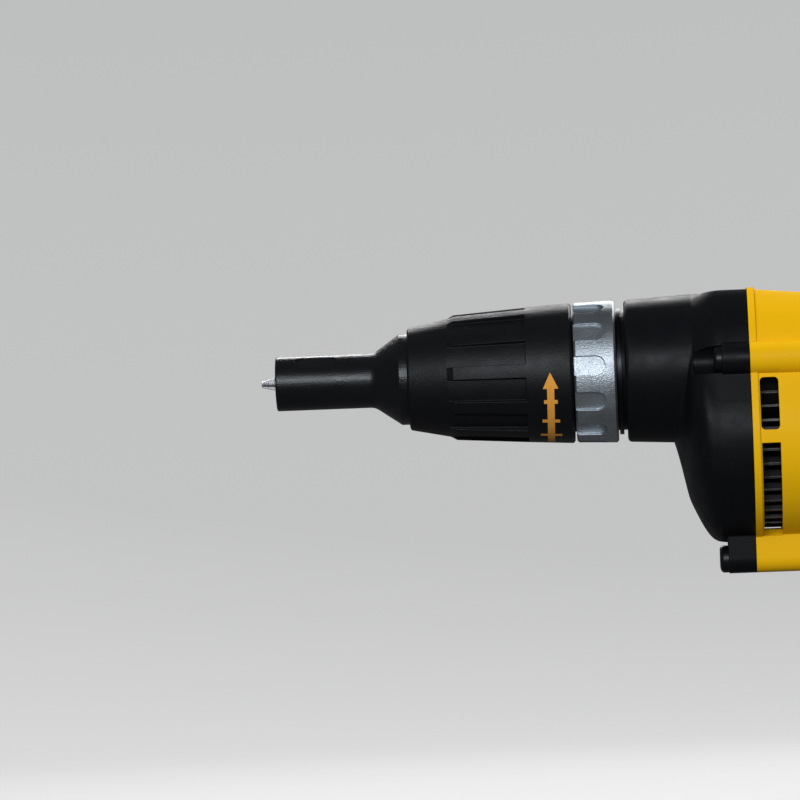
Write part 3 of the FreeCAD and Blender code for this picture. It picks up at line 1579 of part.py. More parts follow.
def make_housing_openings():
    """What is cut through the housing's shell: vents, the boot's seat, air holes and windows."""
    tools = []
    wide = "motor_radius + free_gap * 10"
    vent_front, vent_rear = "case_rear + vent_start", "case_rear + vent_start + vent_width"
    upper = new_body("upper_vents")
    outline = soft_box(vent_front, vent_rear, "vent_bridge_top", "vent_top", "vent_corner")
    sketch = draw_outline(sketch_on(upper, "XZ_Plane"), outline)
    through = feature(upper, "Pad", sketch, Length=f"2 * ({wide})")
    through.Midplane = True
    tools.append(upper)
    lower = new_body("lower_vents")
    inner_side, outer_side = "motor_radius * vent_inner_share", "motor_radius * vent_ramp_share"
    ramp_foot = "-motor_floor - lip_rise"
    slot = [
        (inner_side, "vent_bottom"),
        (outer_side, ramp_foot),
        (wide, ramp_foot),
        (wide, "vent_bridge_bottom"),
        (inner_side, "vent_bridge_bottom"),
    ]
    pad_along_x(lower, lambda sketch: draw_outline(sketch, slot), vent_front, vent_rear)
    tools += [lower, mirrored("lower_vents_left", lower)]
    for index in range(int(value("intake_count"))):
        start = f"housing_rear + intake_start + {index} * intake_pitch"
        tools.append(
            block("intake", start, f"{start} + intake_width", f"-({wide})", wide, "intake_bottom", "intake_top")
        )
    # Seat of the rear bearing's boot, and air holes round it
    place = ("bulkhead_front", "0", "-axis_drop")
    tools.append(rod("boot_seat", "X", place, "boot_radius", "boot_rear - bulkhead_front"))
    for index in range(int(value("air_hole_count"))):
        angle = f"(({index} + 0.5) * 360 / air_hole_count)"
        place = (
            "bulkhead_front - free_gap",
            f"air_hole_reach * cos({angle})",
            f"air_hole_reach * sin({angle}) - axis_drop",
        )
        tools.append(rod("air_hole", "X", place, "air_hole_radius", "bulkhead_thickness + handle_wall * 3"))
    # Windows of the trigger, lever, button and gland
    room = "trigger_width / 2 + free_gap"
    window_front = "housing_rear + free_gap"
    window_rear = "housing_rear + level_a_near + handle_wall * 3"
    top, bottom = "-trigger_top + free_gap", "-trigger_bottom - free_gap"
    tools.append(block("trigger_window", window_front, window_rear, f"-({room})", room, bottom, top))
    lever_room = "lever_width / 2 + lever_reach * sin(lever_swing) + free_gap"
    lever_half = "(lever_thickness / 2 + free_gap)"
    lever_low, lever_high = f"-lever_drop - {lever_half}", f"-lever_drop + {lever_half}"
    tools.append(
        block("lever_slot", window_front, "lever_pivot", f"-({lever_room})", lever_room, lever_low, lever_high)
    )
    place = ("button_x", f"-({wide})", "-button_drop")
    tools.append(rod("button_hole", "Y", place, "button_radius + slide_fit", wide))
    place = ("gland_x", "0", "-handle_foot - free_gap")
    tools.append(rod("gland_hole", "Z", place, "gland_radius", "handle_wall * 3"))
    return tools


def make_housing_screw_holes():
    """Holes along X from the gear case, and holes with sunk heads across the seam from the right."""
    tools = []
    beyond = "motor_radius + free_gap * 10"
    for side, rise in screw_places():
        tip = "boss_front + case_screw_length - case_rear"
        tools.append(rod("case_screw_hole", "X", ("case_rear", side, rise), "case_screw_radius", tip))
    for screw in SEAM_SCREWS:
        across = (f"{screw}_x", "seam_screw_seat - seam_screw_length", f"{screw}_z")
        tools.append(rod(screw + "_hole", "Y", across, "seam_screw_radius", "seam_screw_length"))
        sunk = (f"{screw}_x", "seam_screw_seat", f"{screw}_z")
        tools.append(rod(screw + "_sink", "Y", sunk, "seam_screw_head_radius + free_gap", beyond))
    return tools


def half_space(name, hand):
    """A block that holds everything on one side of the seam."""
    far = "motor_radius * 2"
    near, beyond = ("0", far) if hand > 0 else (f"-{far}", "0")
    return block(name, "0", "handle_foot * 2", near, beyond, "-handle_foot * 2", "handle_foot")


def make_housing():
    form = make_housing_form()
    hollow_tube = motor_tube("motor_hollow", "housing_wall", "case_rear", "bulkhead_front")
    hollow_handle = handle_loft("handle_hollow", "handle_wall", "handle_wall")
    shell = cut("housing_shell", form, [hollow_tube, hollow_handle])
    whole = fuse("housing_whole", [shell] + make_housing_inside())
    drilled = cut("housing_drilled", whole, make_housing_screw_holes())
    opened = cut("housing_opened", drilled, make_housing_openings())
    keep(common("housing_left", [opened, half_space("left_side", -1)]), "housing_left")
    keep(common("housing_right", [opened, half_space("right_side", 1)]), "housing_right")


def make_grip_panels():
    """Rubber panels on the back of the handle, one on each half."""
    grown = handle_loft("grip_form", "-grip_thickness", "0")
    front_top = "housing_rear + level_a_near + grip_set_back"
    front_low = "housing_rear + level_c_near + grip_set_back"
    back = "housing_rear + handle_length"
    top, low = "-handle_pivot_drop + grip_top_above", "-handle_foot + grip_foot_above"
    corners = [(front_top, top), (front_low, low), (back, low), (back, top)]
    for label, on_right in (("grip_left", False), ("grip_right", True)):
        zone = new_body(label + "_zone")
        sketch = draw_outline(sketch_on(zone, "XZ_Plane"), corners)
        pad = feature(zone, "Pad", sketch, Length="motor_radius * 2")
        pad.Reversed = on_right
        covered = common(label + "_cover", [grown, zone])
        keep(cut(label, covered, [doc.getObject("handle_form")]), label)


def make_seam_screws():
    screws = []
    for screw in SEAM_SCREWS:
        place = [f"{screw}_x", "seam_screw_seat", f"{screw}_z"]
        head = rod(screw + "_head", "Y", place, "seam_screw_head_radius", "seam_screw_head_height")
        tip = "seam_screw_seat - seam_screw_length"
        shank = rod(screw + "_shank", "Y", [place[0], tip, place[2]], "seam_screw_radius", "seam_screw_length")
        drive_floor = "seam_screw_seat + seam_screw_head_height - screw_drive_depth"
        drive_place = [place[0], drive_floor, place[2]]
        drive = rod(screw + "_drive", "Y", drive_place, "screw_drive_radius", "screw_drive_depth")
        screws.append(cut(screw, fuse(screw + "_blank", [head, shank]), [drive]))
    return keep(group("housing_screws", screws), "housing_screws")


# Controls and cord inlet


def make_trigger():
    body = new_body("trigger")
    high, low = "-trigger_top", "-trigger_bottom"
    shoulder = "trigger_front + trigger_reach / 3"
    corners = [
        (shoulder, low),
        ("trigger_rear", low),
        ("trigger_rear", high),
        (shoulder, high, "trigger_height * trigger_bow_share", -1),
    ]
    sketch = draw_outline(sketch_on(body, "XZ_Plane"), corners)
    pad = feature(body, "Pad", sketch, Length="trigger_width")
    pad.Midplane = True
    front = value(shoulder) + 0.5

    def on_front(edge):
        """The edges of the finger face."""
        return edge.BoundBox.XMin < front and abs(edge.BoundBox.YMax - edge.BoundBox.YMin) < 0.01

    round_edges(body, "trigger_edge", lambda edge: on_front(edge) and edge.BoundBox.ZLength > 5)
    stem_end = "switch_face + trigger_travel"
    middle = "-(trigger_top + trigger_bottom) / 2"
    pad_along_x(
        body, lambda sketch: draw_circle(sketch, "0", middle, "trigger_stem_radius"), "trigger_rear", stem_end
    )
    return keep(body, "trigger")


def make_switch():
    body = new_body("switch_body")
    half = "switch_width / 2"
    low = "-switch_top - switch_height"
    pad_along_x(
        body,
        lambda sketch: draw_box(sketch, f"-{half}", half, low, "-switch_top"),
        "switch_face",
        "switch_rear",
    )
    middle = "-(trigger_top + trigger_bottom) / 2"
    room = "trigger_stem_radius + free_gap"
    room_end = "switch_face + trigger_travel * 2 + free_gap"
    cut_along_x(body, lambda sketch: draw_circle(sketch, "0", middle, room), "switch_face", room_end)
    # A bracket over the trigger carries the pin of the reversing lever
    low, side = "-switch_top - bracket_thickness", "bracket_reach"
    bracket_front = "lever_pivot - bracket_reach"
    pad_along_x(
        body,
        lambda sketch: draw_box(sketch, f"-{side}", side, low, "-switch_top"),
        bracket_front,
        "switch_face",
    )
    pin = sketch_on(body, "XY_Plane", shift="-switch_top")
    draw_circle(pin, "lever_pivot", "0", "lever_pin_radius + slide_fit")
    feature(body, "Pocket", pin, Length="bracket_thickness")
    return keep(body, "switch_body")


def make_lock_button():
    """A round button through the left half, which stops just short of the switch when pressed."""
    outer = "level_a_half + button_stand_out"
    place = ("button_x", f"-({outer})", "-button_drop")
    button = rod("button_stem", "Y", place, "button_radius", f"{outer} - (button_inner)")
    return keep(button, "lock_button")


def make_reversing_lever():
    body = new_body("reversing_lever")
    half, tip_half = "lever_width / 2", "lever_width * lever_tip_share"
    tip = "lever_pivot - lever_reach"
    corners = [
        ("lever_pivot", f"-{half}", half, 1),
        ("lever_pivot", half),
        (tip, tip_half, tip_half, 1),
        (tip, f"-{tip_half}"),
    ]
    sketch = draw_outline(sketch_on(body, "XY_Plane", shift="-lever_drop"), corners)
    pad = feature(body, "Pad", sketch, Length="lever_thickness")
    pad.Midplane = True
    pin = draw_circle(sketch_on(body, "XY_Plane", shift="-lever_drop"), "lever_pivot", "0", "lever_pin_radius")
    post = feature(body, "Pad", pin, Length="switch_top + bracket_thickness - lever_drop")
    post.Reversed = True
    return keep(body, "reversing_lever")


def make_cord_gland():
    """The inlet in the foot of the handle: a flanged sleeve held between the halves."""
    body = new_body("cord_gland")
    bind(body, Placement__Base__x="gland_x", Placement__Base__z="-handle_foot")
    foot = "-gland_stand_out"
    inside = "handle_wall + seat_fit"
    corners = [
        ("gland_bore", foot),
        ("gland_radius - small_edge", foot),
        ("gland_radius", f"{foot} + small_edge"),
        ("gland_radius", inside),
        ("gland_radius + gland_flange", inside),
        ("gland_radius + gland_flange", f"{inside} + gland_flange"),
        ("gland_bore", f"{inside} + gland_flange"),
    ]
    sketch = draw_outline(sketch_on(body, "XZ_Plane"), corners)
    made = feature(body, "Revolution", sketch)
    made.ReferenceAxis = (sketch, ["V_Axis"])
    made.Angle = 360
    return keep(body, "cord_gland")


def write_parts():
    """Check every object of the document, then write each sub-part to its own file."""
    doc.recompute()
    for thing in doc.Objects:
        if {"Invalid", "Error"} & set(thing.State):
            raise RuntimeError(f"{thing.Name} could not be built: {thing.State}")
    for piece in sub_parts:
        if piece.Shape.isNull() or not piece.Shape.isValid() or not piece.Shape.Solids:
            raise RuntimeError(f"{piece.Label} has no valid solid")
    os.makedirs("parts", exist_ok=True)
    for piece in sub_parts:
        piece.Shape.exportStep(f"parts/{piece.Label}.step")
    print(f"{len(sub_parts)} sub-parts written")


make_nosepiece()
make_depth_sleeve()
make_lock_collar()
make_nose_rings()
make_gear_case()
make_case_screws()
make_bit_and_holder()
make_spindle()
make_clutch_spring()
make_drive_gear()
make_spindle_supports()
make_bearing_plate()
make_bearings()
make_armature()
make_cooling_fan()
make_stator()
make_brush_gear()
make_housing()
make_grip_panels()
make_seam_screws()
make_trigger()
make_switch()
make_lock_button()
make_reversing_lever()
make_cord_gland()
write_parts()
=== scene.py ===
"""Looks of a drywall screwdriver: a finish for every CAD node, printed marks, a spring and a studio."""

import math

import bpy
import numpy as np
from mathutils import Matrix, Vector


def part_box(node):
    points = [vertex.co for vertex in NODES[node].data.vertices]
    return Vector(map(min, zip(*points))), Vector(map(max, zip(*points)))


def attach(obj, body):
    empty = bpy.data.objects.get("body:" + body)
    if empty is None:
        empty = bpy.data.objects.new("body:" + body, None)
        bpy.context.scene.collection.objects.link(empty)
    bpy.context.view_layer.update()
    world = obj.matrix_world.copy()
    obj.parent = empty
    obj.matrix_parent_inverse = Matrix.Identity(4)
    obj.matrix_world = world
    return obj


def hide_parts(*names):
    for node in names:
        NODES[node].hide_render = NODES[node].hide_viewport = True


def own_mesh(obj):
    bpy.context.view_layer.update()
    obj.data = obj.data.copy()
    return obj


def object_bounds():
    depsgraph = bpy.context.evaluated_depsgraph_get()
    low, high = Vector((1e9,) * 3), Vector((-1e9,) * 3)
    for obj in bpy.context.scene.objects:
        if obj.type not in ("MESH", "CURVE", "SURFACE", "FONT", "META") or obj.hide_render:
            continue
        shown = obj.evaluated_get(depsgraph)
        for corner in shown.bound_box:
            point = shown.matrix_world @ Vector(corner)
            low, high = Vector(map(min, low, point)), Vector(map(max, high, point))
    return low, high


bl_info = {
    "name": "Drywall Screwdriver Looks",
    "version": (1, 0, 0),
    "blender": (4, 5, 0),
    "location": "3D View > Sidebar > Screwdriver",
    "description": "Finishes, printed marks, clutch spring and studio for the drywall screwdriver",
    "category": "Object",
}

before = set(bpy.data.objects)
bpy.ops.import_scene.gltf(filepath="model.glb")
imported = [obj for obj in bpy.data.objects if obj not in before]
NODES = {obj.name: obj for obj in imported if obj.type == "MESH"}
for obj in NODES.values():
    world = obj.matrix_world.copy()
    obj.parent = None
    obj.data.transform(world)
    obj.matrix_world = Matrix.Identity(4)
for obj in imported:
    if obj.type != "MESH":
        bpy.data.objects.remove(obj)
CAD_BOX = [list(corner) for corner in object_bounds()]
_, SLEEVE_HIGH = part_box("depth_sleeve")
SPRING_LOW, SPRING_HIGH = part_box("clutch_spring")

# Scales of the noise in moulded and cast finishes: a larger one is finer
EDGE_WEAR_AND_HIGHLIGHT_SCALE = 420.0
DUST_SCALE = 900.0
GLOSS_SCALE = 160.0
# Noise values between which dust goes from none to its full share
DUST_RANGE = (0.56, 0.74)
# Cosines of the angle between the rounded and the true normal, from an edge lifted as wear and painted
# highlight to a plain face
EDGE_RANGE = (0.86, 0.99)

# Turned metal: noise that is fine along X and long across it draws rings, and broad noise draws stains
RING_STRETCH = (1.0, 0.04, 0.04)
RING_SCALE = 2200.0
STAIN_SCALE = 120.0

# Wave scales of wound wire and of stacked sheet
WIRE_SCALE = 420.0
SHEET_SCALE = 640.0

# Colours of small and inner pieces
RING_BLACK = (0.022, 0.022, 0.024)
OXIDE_BLACK = (0.018, 0.018, 0.019)
BUSH_BRONZE = (0.42, 0.26, 0.11)
PLATE_GREY = (0.42, 0.42, 0.43)
SHEET_GREY = (0.32, 0.32, 0.33)
CARBON_BLACK = (0.02, 0.02, 0.02)
HOLDER_BRASS = (0.55, 0.38, 0.13)

# Studio: what the lights aim at, the paper, the front light's tint, the rear light's share of the key
TOOL_MIDDLE = (0.09, 0.0, 0.0)
FLOOR_GAP = 0.001
PAPER_GREY = (0.36, 0.36, 0.357)
PAPER_GLOW = (1.0, 1.0, 0.995, 1.0)
PAPER_GLOW_STRENGTH = 0.38
COOL_WHITE = (0.87, 0.94, 1.0)
REAR_SHARE = 0.75
ROOM_TINT = (0.80, 0.82, 0.85, 1.0)
ROOM_STRENGTH = 0.12

# Camera: the point in the middle of the picture, and how far behind it along X the camera stands
PICTURE_MIDDLE = (0.0381, 0.0, -0.0063)
CAMERA_BACK = 0.077
SENSOR_WIDTH = 36.0


def colour_property(name, description, default):
    return bpy.props.FloatVectorProperty(
        name=name, description=description, subtype="COLOR", size=3, min=0.0, max=1.0, default=default
    )


def length_property(name, description, default):
    return bpy.props.FloatProperty(
        name=name, description=description, unit="LENGTH", default=default, precision=5
    )


def power_property(name, description, default):
    return bpy.props.FloatProperty(name=name, description=description, unit="POWER", default=default)


class ScrewdriverFinish(bpy.types.PropertyGroup):
    """Colours of the tool's visible surfaces"""

    housing_yellow: colour_property("Housing yellow", "Moulded motor housing", (0.87, 0.465, 0.004))
    case_black: colour_property("Gear case black", "Coated gear case", (0.0042, 0.0045, 0.0054))
    nose_black: colour_property("Nose black", "Nosepiece, sleeve and controls", (0.0038, 0.0040, 0.0047))
    collar_grey: colour_property("Collar grey", "Cast lock collar", (0.42, 0.45, 0.48))
    print_orange: colour_property("Print orange", "Ink of the depth marks", (0.76, 0.33, 0.05))
    rubber_black: colour_property("Rubber black", "Grip panels and seals", (0.010, 0.010, 0.010))
    steel_grey: colour_property("Steel grey", "Bit, spindle and bright steel", (0.50, 0.50, 0.51))
    copper_red: colour_property("Copper", "Windings and commutator", (0.62, 0.22, 0.09))
    fan_black: colour_property("Fan black", "Moulded cooling fan", (0.022, 0.022, 0.022))


class ScrewdriverMarks(bpy.types.PropertyGroup):
    """Sizes of the depth marks printed on the sleeve's band"""

    arrow_place: length_property("Arrow place", "Distance of the arrow from the nose", 0.0852)
    arrow_width: length_property("Arrow width", "Width of the arrow's head", 0.0047)
    shaft_width: length_property("Shaft width", "Width of the arrow's shaft", 0.0022)
    ink_lift: length_property("Ink lift", "Height of the ink above the band", 0.00003)
    band_length: length_property("Band length", "Length of the plain band behind the ribs", 0.0142)
    band_front_radius: length_property("Band front radius", "Radius where the band begins", 0.0209)


class ScrewdriverSpring(bpy.types.PropertyGroup):
    """Sizes of the clutch spring"""

    wire: length_property("Wire", "Thickness of the spring's wire", 0.0009)
    travel: length_property("Travel", "How far the spindle's push shortens the spring", 0.003)
    turns: bpy.props.IntProperty(name="Turns", description="Turns of the coil", default=2, min=1)


class ScrewdriverStudio(bpy.types.PropertyGroup):
    """Camera and lights"""

    view_width: length_property("View width", "Width of the picture at the spindle", 0.248)
    view_distance: length_property("View distance", "Camera distance from the spindle", 1.9)
    roll: bpy.props.FloatProperty(
        name="Roll", description="Camera roll", subtype="ANGLE", default=math.radians(2.2)
    )
    key_power: power_property("Key power", "Power of the top light, which the rear light follows", 8.5)
    fill_power: power_property("Fill power", "Power of the front light", 12.0)
    side_power: power_property("Side power", "Power of the side fill", 4.0)


# Node helpers


def feed(tree, socket, value):
    """Link a node's output to a socket, or set a plain value as the socket's own."""
    if isinstance(value, bpy.types.NodeSocket):
        tree.links.new(value, socket)
    else:
        socket.default_value = value


def new_node(tree, kind, inputs=None, **settings):
    """A shader node with its settings, and with its sockets linked or set."""
    node = tree.nodes.new(kind)
    for name, setting in settings.items():
        setattr(node, name, setting)
    for name, value in (inputs or {}).items():
        feed(tree, node.inputs[name], value)
    return node


def noise(tree, place, scale, detail=3.0, roughness=0.55):
    inputs = {"Vector": place, "Scale": scale, "Detail": detail, "Roughness": roughness}
    return new_node(tree, "ShaderNodeTexNoise", inputs).outputs["Fac"]


def spread(tree, value, low, high, from_low=0.3, from_high=0.7):
    """A value stretched from one range to another."""
    inputs = {"Value": value, "From Min": from_low, "From Max": from_high, "To Min": low, "To Max": high}
    return new_node(tree, "ShaderNodeMapRange", inputs).outputs["Result"]


def live_socket(sockets, name):
    """The socket of that name which the node's settings leave in use."""
    return next(socket for socket in sockets if socket.name == name and socket.enabled)


def blend_colours(tree, share, first, second):
    """A colour at a share of the way from the first to the second."""
    node = new_node(tree, "ShaderNodeMix", data_type="RGBA")
    for name, value in (("Factor", share), ("A", first), ("B", second)):
        feed(tree, live_socket(node.inputs, name), value)
    return live_socket(node.outputs, "Result")


def scaled(colour, factor):
    """A colour made lighter or darker by a factor, with no channel over 1."""
    return tuple(min(channel * factor, 1.0) for channel in colour[:3]) + (1.0,)


def rounded_normal(tree, radius, samples):
    """The surface's normal with its edges rounded."""
    return new_node(tree, "ShaderNodeBevel", {"Radius": radius}, samples=samples).outputs["Normal"]


def edge_mask(tree, rounded):
    """Near 1 on sharp outer and inner edges: where the rounded normal leaves the true one."""
    true_normal = new_node(tree, "ShaderNodeNewGeometry").outputs["True Normal"]
    cosine = new_node(tree, "ShaderNodeVectorMath", {0: rounded, 1: true_normal}, operation="DOT_PRODUCT")
    return spread(tree, cosine.outputs["Value"], 1.0, 0.0, *EDGE_RANGE)


def relief(tree, height, strength, depth, normal=None):
    """The normal of a surface that a pattern raises, on top of another normal where one is given."""
    inputs = {"Strength": strength, "Distance": depth, "Height": height}
    if normal is not None:
        inputs["Normal"] = normal
    return new_node(tree, "ShaderNodeBump", inputs).outputs["Normal"]


def new_surface(name):
    """A material, its node tree, and the Object coordinates that its patterns read."""
    material = bpy.data.materials.new(name)
    material.use_nodes = True
    tree = material.node_tree
    return material, tree, new_node(tree, "ShaderNodeTexCoord").outputs["Object"]


def shade(tree, colour, gloss, normal, metallic=0.0, specular=0.5):
    """Feed the tree's shader."""
    shader = tree.nodes["Principled BSDF"]
    inputs = {
        "Base Color": colour,
        "Roughness": gloss,
        "Normal": normal,
        "Metallic": metallic,
        "Specular IOR Level": specular,
    }
    for name, value in inputs.items():
        feed(tree, shader.inputs[name], value)


# Finishes


def finish_material(
    name,
    colour,
    *,
    blotch=0.12,
    blotch_scale=55.0,
    rough=(0.42, 0.56),
    grain_scale=2600.0,
    grain_depth=0.00003,
    grain_strength=0.35,
    edge_radius=0.00035,
    edge_wear_and_highlight_lift=1.6,
    edge_amount=0.5,
    dust=0.0,
    dust_colour=(0.25, 0.24, 0.22, 1.0),
    metallic=0.0,
    specular=0.5,
):
    """A moulded, cast or coated surface.

    Broad noise varies the colour and the gloss, fine noise raises the grain, edges are lifted towards a
    lighter colour as wear and as a painted highlight, and dust settles in sparse patches.
    """
    material, tree, place = new_surface(name)
    rounded = rounded_normal(tree, edge_radius, samples=6)
    broad = noise(tree, place, blotch_scale)
    base = blend_colours(tree, broad, scaled(colour, 1.0 - blotch), scaled(colour, 1.0 + blotch))
    # Outer and inner edges are lifted towards a lighter colour: partly wear, partly a painted highlight along
    # the edges
    patches = spread(tree, noise(tree, place, EDGE_WEAR_AND_HIGHLIGHT_SCALE), 0.0, edge_amount)
    wear_and_highlight = new_node(tree, "ShaderNodeMath", {0: edge_mask(tree, rounded), 1: patches}, operation="MULTIPLY")
    base = blend_colours(tree, wear_and_highlight.outputs["Value"], base, scaled(colour, edge_wear_and_highlight_lift))
    if dust:
        settled = noise(tree, place, DUST_SCALE, detail=6.0, roughness=0.7)
        base = blend_colours(tree, spread(tree, settled, 0.0, dust, *DUST_RANGE), base, dust_colour)
    gloss = spread(tree, noise(tree, place, GLOSS_SCALE, detail=5.0), *rough)
    grain = noise(tree, place, grain_scale, detail=2.0)
    normal = relief(tree, grain, grain_strength, grain_depth, rounded)
    shade(tree, base, gloss, normal, metallic, specular)
    return material


def turned_metal(name, colour, rough=(0.18, 0.34)):
    """Turned or ground metal: fine rings about X vary the gloss and raise shallow lines."""
    material, tree, place = new_surface(name)
    stretch = new_node(tree, "ShaderNodeMapping", {"Vector": place, "Scale": RING_STRETCH})
    rings = noise(tree, stretch.outputs["Vector"], RING_SCALE, detail=2.0)
    stains = noise(tree, place, STAIN_SCALE, detail=5.0)
    base = blend_colours(tree, stains, scaled(colour, 0.82), scaled(colour, 1.12))
    rounded = rounded_normal(tree, 0.00015, samples=4)
    normal = relief(tree, rings, strength=0.12, depth=0.00001, normal=rounded)
    shade(tree, base, spread(tree, rings, *rough), normal, metallic=1.0)
    return material


def wound_copper(name, colour):
    """Enamelled wire: bands along X give each turn its own shade and height."""
    material, tree, place = new_surface(name)
    wave = {"Vector": place, "Scale": WIRE_SCALE, "Distortion": 2.5, "Detail": 2.0}
    turns = new_node(tree, "ShaderNodeTexWave", wave).outputs["Fac"]
    base = blend_colours(tree, turns, scaled(colour, 0.45), scaled(colour, 1.15))
    gloss = spread(tree, noise(tree, place, scale=300.0), low=0.25, high=0.45)
    shade(tree, base, gloss, relief(tree, turns, strength=0.6, depth=0.0002), metallic=0.85)
    return material


def stacked_sheet(name, colour):
    """Stator and armature sheet: fine dark lines across X between the stampings."""
    material, tree, place = new_surface(name)
    wave = {"Vector": place, "Scale": SHEET_SCALE, "Distortion": 0.2}
    sheets = new_node(tree, "ShaderNodeTexWave", wave).outputs["Fac"]
    lit = spread(tree, sheets, low=0.0, high=1.0, from_low=0.1, from_high=0.5)
    base = blend_colours(tree, lit, scaled(colour, 0.35), scaled(colour, 1.0))
    gloss = spread(tree, noise(tree, place, scale=260.0), low=0.35, high=0.6)
    shade(tree, base, gloss, relief(tree, sheets, strength=0.4, depth=0.00008), metallic=0.9)
    return material


def dress(material, *names):
    """Give CAD nodes one finish."""
    for name in names:
        mesh = NODES[name].data
        mesh.materials.clear()
        mesh.materials.append(material)


# Surfaces


def smooth_object(name, points, faces, material):
    """A smooth mesh object at the origin, with one material."""
    mesh = bpy.data.meshes.new(name)
    mesh.from_pydata(points.tolist(), [], [list(face) for face in faces])
    mesh.validate()
    mesh.polygons.foreach_set("use_smooth", np.ones(len(mesh.polygons), dtype=bool))
    mesh.materials.append(material)
    made = bpy.data.objects.new(name, mesh)
    bpy.context.scene.collection.objects.link(made)
    return made


def mesh_piece(name, points, faces, material, body):
    """A smooth mesh object that rides on a CAD body."""
    piece = smooth_object(name, points, faces, material)
    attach(piece, body)
    return piece


def grid_faces(rows, columns):
    """Quads of a grid of rows by columns points."""
    corner = np.arange(rows - 1)[:, None] * columns + np.arange(columns - 1)[None, :]
    quads = np.stack([corner, corner + columns, corner + columns + 1, corner + 1], axis=-1)
    return quads.reshape(-1, 4)


def column(start, end, steps):
    """Even steps from start to end, one to a row."""
    return start + (end - start) * np.linspace(0.0, 1.0, steps)[:, None]


def on_band(along, below, marks):
    """Points on the sleeve's band: along X, and an angle below the left-hand horizontal.

    The band is a cone, so the radius goes evenly along X from its front to its rear radius. The ink's lift is
    added to it. A point lies at minus the radius times the angle's cosine in Y, and times its sine in Z.
    """
    share = (along - (SLEEVE_HIGH.x - marks.band_length)) / marks.band_length
    radius = marks.band_front_radius + share * (SLEEVE_HIGH.y - marks.band_front_radius) + marks.ink_lift
    return np.stack([along, -radius * np.cos(below), -radius * np.sin(below)], axis=-1)


def band_stripe(marks, degrees, centre, half_width):
    """A stripe down the band: at each angle it reaches half its width to either side of its centre.

    The angles are a column. Centre and half width are columns too, or numbers that hold all the way down.
    """
    columns = 5
    across = np.linspace(-1.0, 1.0, columns)[None, :]
    along, below = np.broadcast_arrays(centre + half_width * across, np.radians(degrees))
    return on_band(along, below, marks).reshape(-1, 3), grid_faces(len(degrees), columns)


def depth_marks(marks):
    """The arrow and its steps: a head, a shaft that leans a little forwards, and three cross bars.

    The head widens evenly from its tip. The shaft's centre moves by its lean times the share of its length
    to the power of its bend. The bars grow down the shaft, as a plain scale of shallow to deep, and each has
    a half on either side of the shaft. Angles are degrees down the band.
    """
    tip, neck, foot = -0.8, 12.6, 80.0
    half_tip = 0.00005
    lean, bend = -0.0006, 1.2
    half_shaft = marks.shaft_width / 2
    half_bar = 1.7
    angles_and_reaches = ((24.0, 0.0021), (43.0, 0.0027), (62.0, 0.0033))
    long_steps, bar_steps = 28, 6

    def shaft_centre(share):
        return marks.arrow_place + lean * share**bend

    share = column(0.0, 1.0, long_steps)
    half_head = marks.arrow_width / 2 * share + half_tip
    stripes = [
        band_stripe(marks, column(tip, neck, long_steps), marks.arrow_place, half_head),
        band_stripe(marks, column(neck, foot, long_steps), shaft_centre(share), half_shaft),
    ]
    for angle, reach in angles_and_reaches:
        degrees = column(angle - half_bar, angle + half_bar, bar_steps)
        centre = shaft_centre((degrees - neck) / (foot - neck))
        for side in (-1, 1):
            outwards = side * (reach + half_shaft) / 2
            stripes.append(band_stripe(marks, degrees, centre + outwards, (reach - half_shaft) / 2))
    points, faces, first = [], [], 0
    for patch, quads in stripes:
        points.append(patch)
        faces.append(quads + first)
        first += len(patch)
    return np.concatenate(points), np.concatenate(faces)


def spring_coil(spring):
    """A coil of round wire: a circle carried along a helix about X, closed by a flat cap at each end.

    At a share of its length the helix has turned by that share of all its turns, from straight up towards
    the left, and has climbed by that share of the free length.
    """
    steps, corners = 96, 12
    half_wire = spring.wire / 2
    radius = SPRING_HIGH.y - half_wire
    climb = SPRING_HIGH.x - SPRING_LOW.x - spring.wire
    full_turn = 2 * math.pi * spring.turns
    share = column(0.0, 1.0, steps)
    turn = full_turn * share
    outward = np.stack([0 * turn, -np.sin(turn), np.cos(turn)], axis=-1)
    forward = np.stack([0 * turn, -np.cos(turn), -np.sin(turn)], axis=-1)
    forward = forward + np.array([climb / (full_turn * radius), 0.0, 0.0])
    forward /= np.linalg.norm(forward, axis=-1, keepdims=True)
    across = np.cross(forward, outward)
    middle = outward * radius + np.array([SPRING_LOW.x + half_wire, 0.0, 0.0])
    middle[..., 0] += climb * share
    around = np.linspace(0.0, 2 * math.pi, corners, endpoint=False)[None, :, None]
    points = middle + half_wire * (np.cos(around) * outward + np.sin(around) * across)
    ring = np.arange(steps - 1)[:, None] * corners
    here = ring + np.arange(corners)[None, :]
    beside = ring + (np.arange(corners)[None, :] + 1) % corners
    sides = np.stack([here, here + corners, beside + corners, beside], axis=-1).reshape(-1, 4)[:, ::-1]
    first_cap = list(range(corners))[::-1]
    last_cap = list(range((steps - 1) * corners, steps * corners))
    return points.reshape(-1, 3), [*sides.tolist(), first_cap, last_cap]


def backdrop_surface(middle, floor_height):
    """A round floor that sweeps up into a wall all round, turned about the upright through its middle.

    The profile is flat, then a quarter round, then upright. Its faces point inwards.
    """
    reach, bend, height = 1.5, 0.6, 2.4
    bend_steps, round_steps = 24, 97
    quarter = np.linspace(0.0, math.pi / 2, bend_steps)
    radius = np.concatenate([[0.0], reach - bend + bend * np.sin(quarter), [reach]])
    z = np.concatenate([[0.0], bend - bend * np.cos(quarter), [height]]) + floor_height
    around = np.linspace(0.0, 2 * math.pi, round_steps)[:, None]
    x = middle[0] + radius * np.cos(around)
    y = middle[1] + radius * np.sin(around)
    points = np.stack([x, y, np.broadcast_to(z, x.shape)], axis=-1)
    return points.reshape(-1, 3), grid_faces(len(around), len(radius))[:, ::-1]


# Operators


class FinishOperator:
    """Shared settings of the operators"""

    bl_options = {"REGISTER", "UNDO"}


